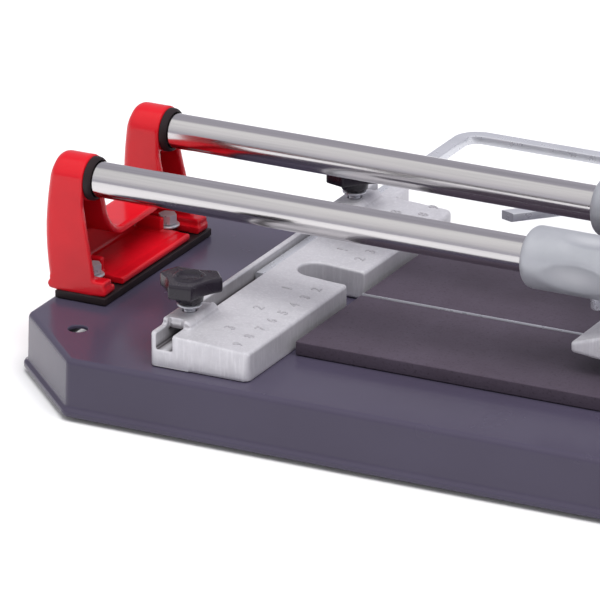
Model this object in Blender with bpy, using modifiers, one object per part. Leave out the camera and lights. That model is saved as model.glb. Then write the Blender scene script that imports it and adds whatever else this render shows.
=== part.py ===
"""Manual tile cutter: a pressed tray, two chromed rails between cast brackets, a sliding carriage with a
scoring lever, and a scale fence with a sliding stop bar.

Machine frame: X runs along the rails, Y = 0 is the scoring line, Z = 0 is the surface the feet stand on.
The whole machine hangs on one empty, which moves the scoring line to LINE_Y so that the origin is the
middle of the bounding box, on that surface. Lengths are in metres.
"""

import math

import bmesh
import bpy
from mathutils import Matrix, Vector

# ---------------------------------------------------------------------------- driving sizes: the base
BASE_LENGTH = 0.680
BASE_WIDTH = 0.218
BASE_CORNER = 0.042  # leg of each corner's chamfer
TRAY_HEIGHT = 0.0245
SHEET = 0.0015  # pressed steel
LIP_HEIGHT = 0.0030  # upright rim round the tray's lower edge
LIP_STEP = 0.0016  # how far the rim stands out from the wall
WALL_DRAFT = 0.0006
TOP_ROUND = 0.0024
PLAN_ROUND = 0.0040
FOOT_LIFT = 0.0020  # how far the rubber feet hold the rim off the bench
FOOT_DIAMETER = 0.024
FOOT_INSET_X = 0.066
FOOT_INSET_Y = 0.026
BENCH_HOLE = 0.0080
BENCH_HOLE_INSET_X = 0.0303
BENCH_HOLE_Y = 0.0742
GAP = 0.0003  # between pieces that touch

# ---------------------------------------------------------------------------- driving sizes: rails and brackets
RAIL_DIAMETER = 0.0150
RAIL_SPACING = 0.0670
RAIL_RISE = 0.0504  # rail axis above the tray's top
RAIL_SEAT = 0.0053  # solid stock behind the rail, from the tray's end
GASKET_THICKNESS = 0.0038
GASKET_START = 0.0048
GASKET_MARGIN = 0.0009  # the gasket shows this much round the bracket's foot
BRACKET_MARGIN = 0.0131  # the foot goes on this far past the rail axis
BRACKET_FOOT_END = 0.0278  # inner edge of the foot from the tray's end
BRACKET_FOOT_THICKNESS = 0.0030
BRACKET_WALL = 0.0030
TOWER_RADIUS = 0.0100
TOWER_TOP_DEPTH = 0.0157  # inner edge of the tower at the rail
TOWER_LOW_DEPTH = 0.0229  # inner edge of the tower at the foot
BACK_BULGE = 0.0023
SADDLE_RISE = 0.0235  # saddle above the tray's top
SADDLE_FILLET = 0.0100
BOLT_X = 0.0150
BOLT_SLOT = 0.0076
BOLT_ROOM = 0.0056  # bolt's middle to the rib and the block beside it
RIB_RISE = 0.0062
RIB_END = 0.0165  # inner end of the rib from the tray's end
RIB_THICKNESS = 0.0026
RIB_MARGIN = 0.0005
BRACKET_CORNER = 0.0042
BLOCK_RISE = 0.0058
COLLAR_THICKNESS = 0.0032
COLLAR_RADIUS = 0.0094
BOLT_DIAMETER = 0.0040
BOLT_HEAD_ACROSS = 0.0070
BOLT_HEAD_HEIGHT = 0.0040
RAIL_SCREW_DIAMETER = 0.0060
RAIL_SCREW_HEAD = 0.0100
RAIL_SCREW_SEAT = 0.0026  # underside of the sunk head, from the tray's end
RAIL_SCREW_HEIGHT = 0.0030
RAIL_SCREW_SOCKET = 0.0050
RAIL_SCREW_REACH = 0.0140  # how far it goes into the rail

# ---------------------------------------------------------------------------- driving sizes: the bed
PAD_START = 0.1240  # from the tray's left end
PAD_END = 0.0400  # from the tray's right end
PAD_HALF_WIDTH = 0.0607
PAD_THICKNESS = 0.0062
RIDGE_WIDTH = 0.0016
RIDGE_RISE = 0.0066

# ---------------------------------------------------------------------------- driving sizes: the scale fence
FENCE_LEFT = 0.0768  # from the tray's left end
FENCE_WIDTH = 0.0443
FENCE_FRONT = 0.0974  # the front end, before the scoring line
FENCE_BACK = 0.0918  # the back end, behind the scoring line
FENCE_TAIL = 0.1050  # the channel runs on to here
FENCE_TAIL_WIDTH = 0.0170
FENCE_HIGH = 0.0150
FENCE_LOW = 0.0126
FENCE_EDGE = 0.0011
CHANNEL_WALL = 0.0023
CHANNEL_WIDTH = 0.0074
CHANNEL_DEPTH = 0.0073
NOTCH_WIDTH = 0.0160
NOTCH_START = 0.0182  # closed end of the wheel's slot, from the fence's left side
BOSS_WIDTH = 0.0127
BOSS_LENGTH = 0.0250
BOSS_RISE = 0.0028
BOSS_BRIDGE = 0.0022  # stock left over the channel
STUD_Y = 0.0750
STUD_DIAMETER = 0.0050
KNOB_RADIUS = 0.0142
KNOB_LOBE = 0.0030  # half the height of the knob's lobes
KNOB_HEIGHT = 0.0068
KNOB_TOP_RISE = 0.0330  # knob's top above the tray's top
HUB_RADIUS = 0.0062
HUB_HEIGHT = 0.0050
WASHER_RADIUS = 0.0052
WASHER_THICKNESS = 0.0010
FENCE_SCREW_Y = 0.0560
FENCE_SCREW_DIAMETER = 0.0050

# ---------------------------------------------------------------------------- driving sizes: the stop bar
BAR_WIDTH = 0.0060
BAR_HEIGHT = 0.0040
BAR_FRONT_Y = -0.0108
BAR_BACK_Y = 0.1852
BAR_BEND = 0.0085
BAR_CORNER_X = 0.2220  # from the tray's left end
BAR_TIP_Y = 0.1010
BAR_ANGLE = math.radians(46)

# ---------------------------------------------------------------------------- driving sizes: the carriage
SLEEVE_START = 0.2160  # left end of the sleeves, from the tray's left end
SLEEVE_LENGTH = 0.0960
SLEEVE_RADIUS = 0.0130
SLEEVE_ROUND = 0.0050
SLEEVE_LIP = 0.0030
LINER_WALL = 0.0022
RUNNING_GAP = 0.00030
BRIDGE_START = 0.0280  # from the sleeves' left end
BRIDGE_LENGTH = 0.0640
BRIDGE_DROP = 0.0060
BRIDGE_RISE = 0.0085
WINDOW_HALF = 0.0086
WINDOW_START = 0.0315
WINDOW_LENGTH = 0.0530
EAR_OUTER = 0.0146  # the ears' outer faces from the scoring line
EAR_RADIUS = 0.0120
PIVOT_X = 0.0520  # from the sleeves' left end
PIVOT_RISE = 0.0180  # above the rail axis
PIVOT_DIAMETER = 0.0080
SLEEVE_SCREW_X = 0.0310
SLEEVE_SCREW_DIAMETER = 0.0060
SLEEVE_SCREW_DROP = 0.0047

# ---------------------------------------------------------------------------- driving sizes: lever, wheel, foot
LEVER_HALF = 0.0070
LEVER_HEAD = 0.0110
TOE_X = 0.0200  # breaker pin from the pivot
TOE_Z = -0.0360
TOE_RADIUS = 0.0070
TOE_PIN_DIAMETER = 0.0050
HOLDER_X = -0.0080  # wheel centre from the pivot
WHEEL_Z = -0.0420
WHEEL_RADIUS = 0.0110
WHEEL_THICKNESS = 0.0030
WHEEL_AXLE_DIAMETER = 0.0040
HOLDER_WIDTH = 0.0110
HOLDER_HALF = 0.0046
HOLDER_SCREW_DROP = 0.0190
HOLDER_SCREW_RADIUS = 0.0020
HOLDER_DROP = 0.0082  # holder's top below the pivot
STEM_DROP = 0.0180
STEM_RADIUS = 0.0080
HANDLE_ANGLE = math.radians(47)
HANDLE_START = 0.0200
HANDLE_LENGTH = 0.2300
HANDLE_DIAMETER = 0.0120
SOCKET_START = 0.0165
SOCKET_END = 0.0440
SOCKET_RADIUS = 0.0095
GRIP_LENGTH = 0.1150
GRIP_RADIUS = 0.0150
BREAKER_HALF = 0.0420
BREAKER_NOSE = 0.0490  # nose ahead of the breaker's pin
BREAKER_HEEL = 0.0110
BREAKER_UNDER = 0.0182  # sole below the pin
BREAKER_TOE_LIFT = 0.0013  # the nose turns up by this much
BREAKER_EDGE = 0.0042  # height of the nose
BREAKER_THICKNESS = 0.0120
BREAKER_RAMP = 0.0190  # length of the slope behind the nose
BREAKER_SLOT = 0.0130  # closed end of the wheel's slot, ahead of the pin
BREAKER_ARM = 0.0045
BREAKER_PLAY = 0.0012
BREAKER_RELIEF = 0.0040

# ---------------------------------------------------------------------------- places that follow from them
END = BASE_LENGTH / 2
TOP = FOOT_LIFT + TRAY_HEIGHT
RAIL_Z = TOP + RAIL_RISE
RAIL_Y = RAIL_SPACING / 2
RAIL_RADIUS = RAIL_DIAMETER / 2
BRACKET_HALF = RAIL_Y + BRACKET_MARGIN
BRACKET_Z = TOP + GASKET_THICKNESS
FOOT_TOP = BRACKET_Z + BRACKET_FOOT_THICKNESS
SADDLE_Z = TOP + SADDLE_RISE
FENCE_X = FENCE_LEFT - END
FENCE_Z = TOP + GAP
CHANNEL_X = FENCE_X + CHANNEL_WALL + CHANNEL_WIDTH / 2
CHANNEL_Z = TOP + FENCE_HIGH - CHANNEL_DEPTH
BOSS_TOP = TOP + FENCE_HIGH + BOSS_RISE
KNOB_TOP = TOP + KNOB_TOP_RISE
KNOB_BOTTOM = KNOB_TOP - KNOB_HEIGHT
HUB_BOTTOM = KNOB_BOTTOM - HUB_HEIGHT
BAR_Z = CHANNEL_Z + GAP
SLEEVE_X = SLEEVE_START - END
PIVOT = Vector((SLEEVE_X + PIVOT_X, 0, RAIL_Z + PIVOT_RISE))
TOE = PIVOT + Vector((TOE_X, 0, TOE_Z))
WHEEL = PIVOT + Vector((HOLDER_X, 0, WHEEL_Z))
HOLDER_TOP = PIVOT.z - HOLDER_DROP
BAR_REACH = BAR_BACK_Y + BAR_WIDTH / 2
LINE_Y = (BASE_WIDTH / 2 - BAR_REACH) / 2

FINE, ROUND, SMALL = 28, 20, 12  # steps round a rail, a boss and a screw

# ---------------------------------------------------------------------------- scene, collections, materials
for old in list(bpy.data.objects):
    bpy.data.objects.remove(old)

parts = bpy.data.collections.new("tile_cutter")
cutters = bpy.data.collections.new("cutters")
bpy.context.scene.collection.children.link(parts)
bpy.context.scene.collection.children.link(cutters)

machine = bpy.data.objects.new("machine", None)
machine.location = (0, LINE_Y, 0)
parts.objects.link(machine)


def material(name, colour, roughness, metallic):
    made = bpy.data.materials.new(name)
    made.use_nodes = True
    shader = made.node_tree.nodes["Principled BSDF"]
    shader.inputs["Base Color"].default_value = (*colour, 1)
    shader.inputs["Roughness"].default_value = roughness
    shader.inputs["Metallic"].default_value = metallic
    return made


TRAY_PAINT = material("tray_paint", (0.085, 0.078, 0.120), 0.25, 0.2)
RED_PAINT = material("red_paint", (0.75, 0.012, 0.018), 0.22, 0.0)
CHROME = material("chrome", (0.72, 0.72, 0.73), 0.10, 1.0)
CAST = material("cast_aluminium", (0.62, 0.63, 0.65), 0.38, 1.0)
ZINC = material("zinc", (0.70, 0.71, 0.72), 0.30, 1.0)
RUBBER = material("rubber", (0.018, 0.016, 0.018), 0.75, 0.0)
PAD = material("pad_rubber", (0.085, 0.065, 0.085), 0.60, 0.0)
PLASTIC = material("black_plastic", (0.020, 0.018, 0.022), 0.35, 0.0)
BRONZE = material("bronze", (0.50, 0.32, 0.14), 0.35, 1.0)
CARBIDE = material("carbide", (0.30, 0.31, 0.33), 0.22, 1.0)

# ---------------------------------------------------------------------------- modelling helpers
ALONG_X = Matrix(((0, 0, 1), (1, 0, 0), (0, 1, 0)))  # local x, y, z run along Y, Z, X
ALONG_Y = Matrix(((1, 0, 0), (0, 0, -1), (0, 1, 0)))  # local x, y, z run along X, Z, -Y
ALONG_Z = Matrix.Identity(3)
OFF_AXIS = Matrix.Rotation(math.radians(4), 3, "Z")  # keeps a bore's facets off a sleeve's


def place(name, mesh, skin, location=(0, 0, 0), turn=ALONG_Z):
    """A named part in the machine's frame."""
    part = bpy.data.objects.new(name, mesh)
    part.parent = machine
    part.matrix_local = Matrix.Translation(location) @ turn.to_4x4()
    mesh.materials.clear()
    mesh.materials.append(skin)
    parts.objects.link(part)
    return part


def as_cutter(thing):
    """Moves an object out of the parts, so that it only guides a Boolean."""
    parts.objects.unlink(thing)
    cutters.objects.link(thing)
    thing.hide_render = True
    thing.display_type = "WIRE"
    return thing


def weld(thing):
    joint = thing.modifiers.new("weld", "WELD")
    joint.merge_threshold = 0.00001
    return thing


def arc(centre, radius, start, stop, steps):
    """Points on a circle from one angle to another, both in degrees."""
    angles = [math.radians(start + (stop - start) * i / steps) for i in range(steps + 1)]
    return [(centre[0] + radius * math.cos(a), centre[1] + radius * math.sin(a)) for a in angles]


def box(name, low, high, skin, origin=(0, 0, 0)):
    """A block between two corners, its origin wherever its joint is."""
    shape = bmesh.new()
    bmesh.ops.create_cube(shape, size=1)
    size = Vector(high) - Vector(low)
    middle = (Vector(high) + Vector(low)) / 2 - Vector(origin)
    bmesh.ops.scale(shape, vec=size, verts=shape.verts)
    bmesh.ops.translate(shape, vec=middle, verts=shape.verts)
    mesh = bpy.data.meshes.new(name)
    shape.to_mesh(mesh)
    shape.free()
    return place(name, mesh, skin, origin)


def turned(name, profile, skin, location, turn=ALONG_Z, steps=ROUND, closed=False):
    """A profile of (radius, height) points, running down its outer side, screwed round local Z."""
    edges = [(i, i + 1) for i in range(len(profile) - 1)]
    if closed:
        edges.append((len(profile) - 1, 0))
    mesh = bpy.data.meshes.new(name)
    mesh.from_pydata([(r, 0, z) for r, z in profile], edges, [])
    part = place(name, mesh, skin, location, turn)
    spin = part.modifiers.new("screw", "SCREW")
    spin.axis = "Z"
    spin.steps = spin.render_steps = steps
    spin.use_merge_vertices = True
    spin.merge_threshold = 0.00001
    spin.use_smooth_shade = True
    return weld(part)


def rod(name, radius, low, high, skin, location, turn=ALONG_Z, steps=ROUND):
    """A plain round bar between two heights on local Z."""
    profile = [(0, high), (radius, high), (radius, low), (0, low)]
    return turned(name, profile, skin, location, turn, steps)


def ring(name, inner, outer, low, high, skin, location, turn=ALONG_Z, steps=ROUND):
    """A plain round sleeve between two heights on local Z."""
    profile = [(inner, high), (outer, high), (outer, low), (inner, low)]
    return turned(name, profile, skin, location, turn, steps, closed=True)


def plate(name, outlines, thickness, skin, location=(0, 0, 0), turn=ALONG_Z):
    """Flat outlines, the first one outside and the rest holes, given a thickness about local z = 0."""
    curve = bpy.data.curves.new(name, "CURVE")
    curve.dimensions = "2D"
    curve.fill_mode = "BOTH"
    curve.extrude = thickness / 2
    for outline in outlines:
        spline = curve.splines.new("POLY")
        spline.points.add(len(outline) - 1)
        for point, (u, v) in zip(spline.points, outline):
            point.co = (u, v, 0, 1)
        spline.use_cyclic_u = True
    drawn = bpy.data.objects.new(name + "_outline", curve)
    bpy.context.scene.collection.objects.link(drawn)
    mesh = bpy.data.meshes.new_from_object(drawn.evaluated_get(bpy.context.evaluated_depsgraph_get()))
    bpy.data.objects.remove(drawn)
    mesh.name = name
    shape = bmesh.new()
    shape.from_mesh(mesh)
    bmesh.ops.remove_doubles(shape, verts=shape.verts, dist=0.00001)
    bmesh.ops.dissolve_limit(shape, angle_limit=0.01, verts=shape.verts, edges=shape.edges)
    bmesh.ops.recalc_face_normals(shape, faces=shape.faces)
    shape.to_mesh(mesh)
    shape.free()
    return place(name, mesh, skin, location, turn)


def combine(part, others, operation):
    """Cuts, joins or crosses a part with others, which become cutters."""
    for other in others:
        step = part.modifiers.new(operation.lower(), "BOOLEAN")
        step.operation = operation
        step.object = as_cutter(other)
        step.solver = "EXACT"
    return part


def cut(part, others):
    return combine(part, others, "DIFFERENCE")


def join(part, others):
    return combine(part, others, "UNION")


def soften(part, width, segments=2, angle=40):
    """Rounds a part's sharp edges."""
    edge = part.modifiers.new("bevel", "BEVEL")
    edge.width = width
    edge.segments = segments
    edge.limit_method = "ANGLE"
    edge.angle_limit = math.radians(angle)
    edge.use_clamp_overlap = True
    return part


def settle(part):
    """Applies a part's modifiers, so that its mesh can be shared."""
    bpy.context.view_layer.update()
    mesh = bpy.data.meshes.new_from_object(part.evaluated_get(bpy.context.evaluated_depsgraph_get()))
    part.modifiers.clear()
    part.data = mesh
    return part


def hexagon(across, turn=0):
    """Corners of a hexagon of this width across its flats."""
    return arc((0, 0), across / math.sqrt(3), turn, turn + 300, 5)


# ---------------------------------------------------------------------------- the base
def tray_outline(inset):
    """The tray's plan, moved in by an amount: a rectangle with chamfered corners, each bend rounded."""
    half_x, half_y = END - inset, BASE_WIDTH / 2 - inset
    leg = BASE_CORNER - inset * (2 - math.sqrt(2))
    corners = []
    for sx, sy in ((1, 1), (-1, 1), (-1, -1), (1, -1)):
        pair = [(sx * half_x, sy * (half_y - leg)), (sx * (half_x - leg), sy * half_y)]
        corners += pair if sx * sy > 0 else pair[::-1]
    outline = []
    radius = max(PLAN_ROUND - inset, 0.0005)
    for before, here, after in zip(corners[-1:] + corners[:-1], corners, corners[1:] + corners[:1]):
        here, into, out = Vector(here), Vector(before) - Vector(here), Vector(after) - Vector(here)
        reach = radius * math.tan(math.radians(22.5))
        start, stop = here + into.normalized() * reach, here + out.normalized() * reach
        mid = (here + (start + stop) / 2) / 2
        outline += [tuple(start), tuple(mid), tuple(stop)]
    return outline


def loft(name, rings, skin):
    """An open skin through rings of equal length, closed over the last one."""
    mesh = bpy.data.meshes.new(name)
    shape = bmesh.new()
    rows = [[shape.verts.new((x, y, z)) for x, y in outline] for outline, z in rings]
    count = len(rows[0])
    for low, high in zip(rows, rows[1:]):
        for i in range(count):
            j = (i + 1) % count
            shape.faces.new((low[i], low[j], high[j], high[i]))
    shape.faces.new(rows[-1])
    shape.to_mesh(mesh)
    shape.free()
    return place(name, mesh, skin)


def bench_holes():
    x = END - BENCH_HOLE_INSET_X
    return [(sx * x, sy * BENCH_HOLE_Y) for sx in (-1, 1) for sy in (-1, 1)]


def bolt_places():
    """Bracket bolts under the rails: (side, front or rear) and their middle."""
    x = END - BOLT_X
    return {(sx, sy): (sx * x, sy * RAIL_Y) for sx in (-1, 1) for sy in (-1, 1)}


def fence_screw_places():
    x = FENCE_X + FENCE_WIDTH * 0.62
    return [(x, -FENCE_SCREW_Y), (x, FENCE_SCREW_Y)]


def base_tray():
    """Walls and top as one pressed sheet, thickened inwards."""
    wall = LIP_STEP + WALL_DRAFT
    rings = [
        (tray_outline(0), FOOT_LIFT),
        (tray_outline(0), FOOT_LIFT + LIP_HEIGHT),
        (tray_outline(LIP_STEP), FOOT_LIFT + LIP_HEIGHT + LIP_STEP / 2),
        (tray_outline(wall), TOP - TOP_ROUND),
    ]
    for degrees in (30, 60, 90):
        slant = math.radians(degrees)
        inset = wall + TOP_ROUND * (1 - math.cos(slant))
        rings.append((tray_outline(inset), TOP - TOP_ROUND * (1 - math.sin(slant))))
    tray = loft("base_tray", rings, TRAY_PAINT)
    shell = tray.modifiers.new("solidify", "SOLIDIFY")
    shell.thickness = SHEET
    shell.offset = -1
    shell.use_even_offset = True
    low, high = TOP - 2 * SHEET, TOP + SHEET
    holes = [rod("bench_hole", BENCH_HOLE / 2, low, high, ZINC, (x, y, 0)) for x, y in bench_holes()]
    for x, y in bolt_places().values():
        holes.append(rod("bolt_hole", BOLT_DIAMETER / 2 + GAP, low, high, ZINC, (x, y, 0), steps=SMALL))
    for x, y in fence_screw_places():
        radius = FENCE_SCREW_DIAMETER / 2 + GAP
        holes.append(rod("screw_hole", radius, low, high, ZINC, (x, y, 0), steps=SMALL))
    return cut(tray, holes)


def feet():
    """Tall rubber feet under the tray's top, a little wider where they meet it."""
    x, y = END - FOOT_INSET_X, BASE_WIDTH / 2 - FOOT_INSET_Y
    top, radius = TOP - SHEET - GAP, FOOT_DIAMETER / 2
    rim, hollow = 0.0012, 0.003
    profile = [
        (0, top), (radius, top), (radius - rim, rim), (radius - 2 * rim, 0),
        (radius / 2, 0), (radius / 2 - rim, hollow), (0, hollow),
    ]
    for sx, side in ((-1, "left"), (1, "right")):
        for sy, row in ((-1, "front"), (1, "rear")):
            turned(f"foot_{side}_{row}", profile, RUBBER, (sx * x, sy * y, 0))


def bed():
    """Two rubber pads with the breaking ridge standing between them."""
    start, stop = PAD_START - END, END - PAD_END
    inner = RIDGE_WIDTH / 2 + GAP
    low, high = TOP + GAP, TOP + PAD_THICKNESS
    for sy, row in ((-1, "front"), (1, "rear")):
        sides = sorted((sy * inner, sy * PAD_HALF_WIDTH))
        box(f"{row}_pad", (start, sides[0], low), (stop, sides[1], high), PAD)
    half, crown = RIDGE_WIDTH / 2, TOP + RIDGE_RISE
    outline = [(-half, low), (half, low), (half, crown - half / 2), (half / 2, crown), (-half / 2, crown),
               (-half, crown - half / 2)]
    middle = ((start + stop) / 2, 0, 0)
    plate("breaking_ridge", [outline], stop - start, ZINC, middle, ALONG_X)


# ---------------------------------------------------------------------------- brackets and rails
def mirrored(half):
    """A half outline at negative y, carried on over the middle."""
    return half + [(-y, z) for y, z in reversed(half)]


def bracket_side():
    """The bracket seen along Y: a bulging back, a rounded top corner and a front edge that leans out."""
    crown, low = RAIL_Z + TOWER_RADIUS, BRACKET_Z
    rise = crown - BRACKET_CORNER - low
    side = []
    for i in range(9):
        t = i / 8
        side.append((-BACK_BULGE * math.sin(math.pi * t), low + rise * t))
    side += arc((BRACKET_CORNER, crown - BRACKET_CORNER), BRACKET_CORNER, 150, 100, 3)
    side += [(BRACKET_CORNER, crown + 0.001), (TOWER_TOP_DEPTH, crown + 0.001),
             (TOWER_TOP_DEPTH, RAIL_Z - TOWER_RADIUS), (TOWER_LOW_DEPTH, low)]
    return plate("bracket_side", [side], 4 * BRACKET_HALF, RED_PAINT, turn=ALONG_Y)


def bracket_foot():
    """The bracket's foot with an upright rib and an end block beside each bolt."""
    wall, low, long, deep = BRACKET_WALL, BRACKET_Z, BRACKET_HALF, BRACKET_FOOT_END
    foot = box("bracket_foot", (wall / 2, -long, low), (deep, long, FOOT_TOP), RED_PAINT)
    extras = []
    for sy in (-1, 1):
        near, far = sy * (RAIL_Y - BOLT_ROOM), sy * (RAIL_Y + BOLT_ROOM)
        ribs = sorted((near, near - sy * RIB_THICKNESS))
        extras.append(box("bracket_rib", (wall * 0.6, ribs[0], low + wall / 2),
                          (RIB_END, ribs[1], FOOT_TOP + RIB_RISE), RED_PAINT))
        block = sorted((far, sy * (long - RIB_MARGIN)))
        extras.append(box("bracket_block", (wall * 0.6, block[0], low + wall / 2),
                          (deep - RIB_MARGIN, block[1], low + BLOCK_RISE), RED_PAINT))
    return join(foot, extras)


def rail_bracket():
    """The left bracket, its local x = 0 at the tray's end: two arched towers, a saddle and a slotted foot."""
    y, r, wall = -RAIL_Y, TOWER_RADIUS, BRACKET_WALL
    bend = (y + r + SADDLE_FILLET, SADDLE_Z + SADDLE_FILLET)
    depth = BRACKET_FOOT_END
    half = [(-BRACKET_HALF + RIB_MARGIN, BRACKET_Z + RIB_MARGIN), *arc((y, RAIL_Z), r, 180, 0, 12)]
    half += arc(bend, SADDLE_FILLET, 180, 270, 6)
    body = plate("left_rail_bracket", [mirrored(half)], 2 * depth, RED_PAINT, turn=ALONG_X)
    combine(body, [bracket_side()], "INTERSECT")

    inner = r - wall
    drop = math.degrees(math.acos(inner / r))
    pocket = [(-BRACKET_HALF + wall, FOOT_TOP - wall / 2)]
    pocket += arc((y, RAIL_Z), r, 180 + drop, 360 - drop, 6)
    pocket += arc(bend, SADDLE_FILLET + wall, 180, 270, 6)
    hollow = plate("bracket_pocket", [mirrored(pocket)], 2 * depth, RED_PAINT, (depth + wall, 0, 0), ALONG_X)
    cut(body, [hollow])
    join(body, [bracket_foot()])

    holes = []
    slot_half = BOLT_SLOT / 2
    for sy in (-1, 1):
        spot = (0, sy * RAIL_Y, RAIL_Z)
        holes.append(rod("rail_bore", RAIL_RADIUS + GAP, RAIL_SEAT - GAP, 2 * depth, RED_PAINT, spot, ALONG_X,
                         FINE))
        holes.append(rod("screw_bore", RAIL_SCREW_DIAMETER / 2 + GAP, -depth, depth, RED_PAINT, spot, ALONG_X,
                         SMALL))
        holes.append(rod("head_bore", RAIL_SCREW_HEAD / 2 + GAP, -depth, RAIL_SCREW_SEAT + GAP, RED_PAINT, spot,
                         ALONG_X, ROUND))
        slot = [(2 * depth, slot_half), *arc((BOLT_X, 0), slot_half, 90, 270, 8), (2 * depth, -slot_half)]
        holes.append(plate("bolt_slot", [slot], 4 * BRACKET_FOOT_THICKNESS, RED_PAINT,
                           (0, sy * RAIL_Y, BRACKET_Z)))
    cut(body, holes)
    return settle(body)


def brackets_and_gaskets():
    left = rail_bracket()
    left.location.x = -END
    turned_round = Matrix.Rotation(math.pi, 3, "Z") @ left.matrix_local.to_3x3()
    place("right_rail_bracket", left.data, RED_PAINT, (END, 0, 0), turned_round)

    start, stop = GASKET_START, BRACKET_FOOT_END + GASKET_MARGIN
    half = BRACKET_HALF + GASKET_MARGIN
    middle, low, high = (start + stop) / 2, TOP + GAP, BRACKET_Z - GAP
    length = (stop - start) / 2
    for sx, side in ((-1, "left"), (1, "right")):
        outline = [(-length, -half), (length, -half), (length, half), (-length, half)]
        offset = sx * (END - BOLT_X) - sx * (END - middle)
        holes = [arc((offset, sy * RAIL_Y), BOLT_DIAMETER / 2 + GAP, 0, 345, 15) for sy in (-1, 1)]
        plate(f"{side}_gasket", [outline, *holes], high - low, RUBBER, (sx * (END - middle), 0, (low + high) / 2))


def rails():
    """Two equal bars, tapped at both ends for the bracket screws."""
    half = END - RAIL_SEAT
    hole, deep, edge = RAIL_SCREW_DIAMETER / 2 + GAP, 0.016, 0.0006
    r = RAIL_RADIUS
    profile = [(0, half - deep), (hole, half - deep), (hole, half), (r - edge, half), (r, half - edge),
               (r, edge - half), (r - edge, -half), (hole, -half), (hole, deep - half), (0, deep - half)]
    for sy, row in ((-1, "front"), (1, "rear")):
        turned(f"{row}_rail", profile, CHROME, (0, sy * RAIL_Y, RAIL_Z), ALONG_X, FINE)


def collars():
    """Rubber rings that close the brackets' mouths round the rails."""
    low = TOWER_TOP_DEPTH + GAP
    high = low + COLLAR_THICKNESS
    inner, outer, edge = RAIL_RADIUS + GAP, COLLAR_RADIUS, 0.0012
    profile = [(inner, high), (outer - edge, high), (outer, high - edge), (outer, low), (inner, low)]
    for sx, side in ((-1, "left"), (1, "right")):
        turn = ALONG_X if sx < 0 else Matrix.Rotation(math.pi, 3, "Z") @ ALONG_X
        for sy, row in ((-1, "front"), (1, "rear")):
            turned(f"collar_{side}_{row}", profile, RUBBER, (sx * END, sy * RAIL_Y, RAIL_Z), turn, FINE,
                   closed=True)


def fasteners():
    """Bolts, washers and nuts of the brackets, and the cap screws in the rails' ends."""
    radius = BOLT_DIAMETER / 2
    washer_low = FOOT_TOP + GAP
    head_low = washer_low + WASHER_THICKNESS + GAP
    nut_high = TOP - SHEET - GAP
    nut_height = 0.004
    for (sx, sy), (x, y) in bolt_places().items():
        tag = ("left" if sx < 0 else "right") + ("_front" if sy < 0 else "_rear")
        head = plate(f"bolt_{tag}", [hexagon(BOLT_HEAD_ACROSS, 12)], BOLT_HEAD_HEIGHT, ZINC,
                     (x, y, head_low + BOLT_HEAD_HEIGHT / 2))
        shank = rod("shank", radius, nut_high - nut_height - 0.002, head_low + 0.001, ZINC, (x, y, 0), steps=SMALL)
        join(head, [shank])
        ring(f"washer_{tag}", radius + GAP, WASHER_RADIUS, washer_low, washer_low + WASHER_THICKNESS, ZINC,
             (x, y, 0))
        bore = arc((0, 0), radius + GAP, 0, 337.5, 15)
        plate(f"nut_{tag}", [hexagon(BOLT_HEAD_ACROSS), bore], nut_height, ZINC,
              (x, y, nut_high - nut_height / 2))

    shaft, head, socket = RAIL_SCREW_DIAMETER / 2, RAIL_SCREW_HEAD / 2, RAIL_SCREW_SOCKET / 2
    seat, top, tip = RAIL_SCREW_SEAT, RAIL_SCREW_SEAT - RAIL_SCREW_HEIGHT, RAIL_SEAT + RAIL_SCREW_REACH
    floor, edge = RAIL_SCREW_SEAT - RAIL_SCREW_HEIGHT / 3, 0.0004
    profile = [(0, tip), (shaft, tip), (shaft, seat), (head, seat), (head, top + edge), (head - edge, top),
               (socket, top), (socket, floor), (0, floor)]
    for sx, side in ((-1, "left"), (1, "right")):
        turn = ALONG_X if sx < 0 else Matrix.Rotation(math.pi, 3, "Z") @ ALONG_X
        for sy, row in ((-1, "front"), (1, "rear")):
            turned(f"rail_screw_{side}_{row}", profile, ZINC, (sx * END, sy * RAIL_Y, RAIL_Z), turn, SMALL)


# ---------------------------------------------------------------------------- fence, knobs and stop bar
def fence_top(x):
    """Height of the fence's sloping top at a distance from its left side."""
    return TOP + FENCE_HIGH - (FENCE_HIGH - FENCE_LOW) * x / FENCE_WIDTH


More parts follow.
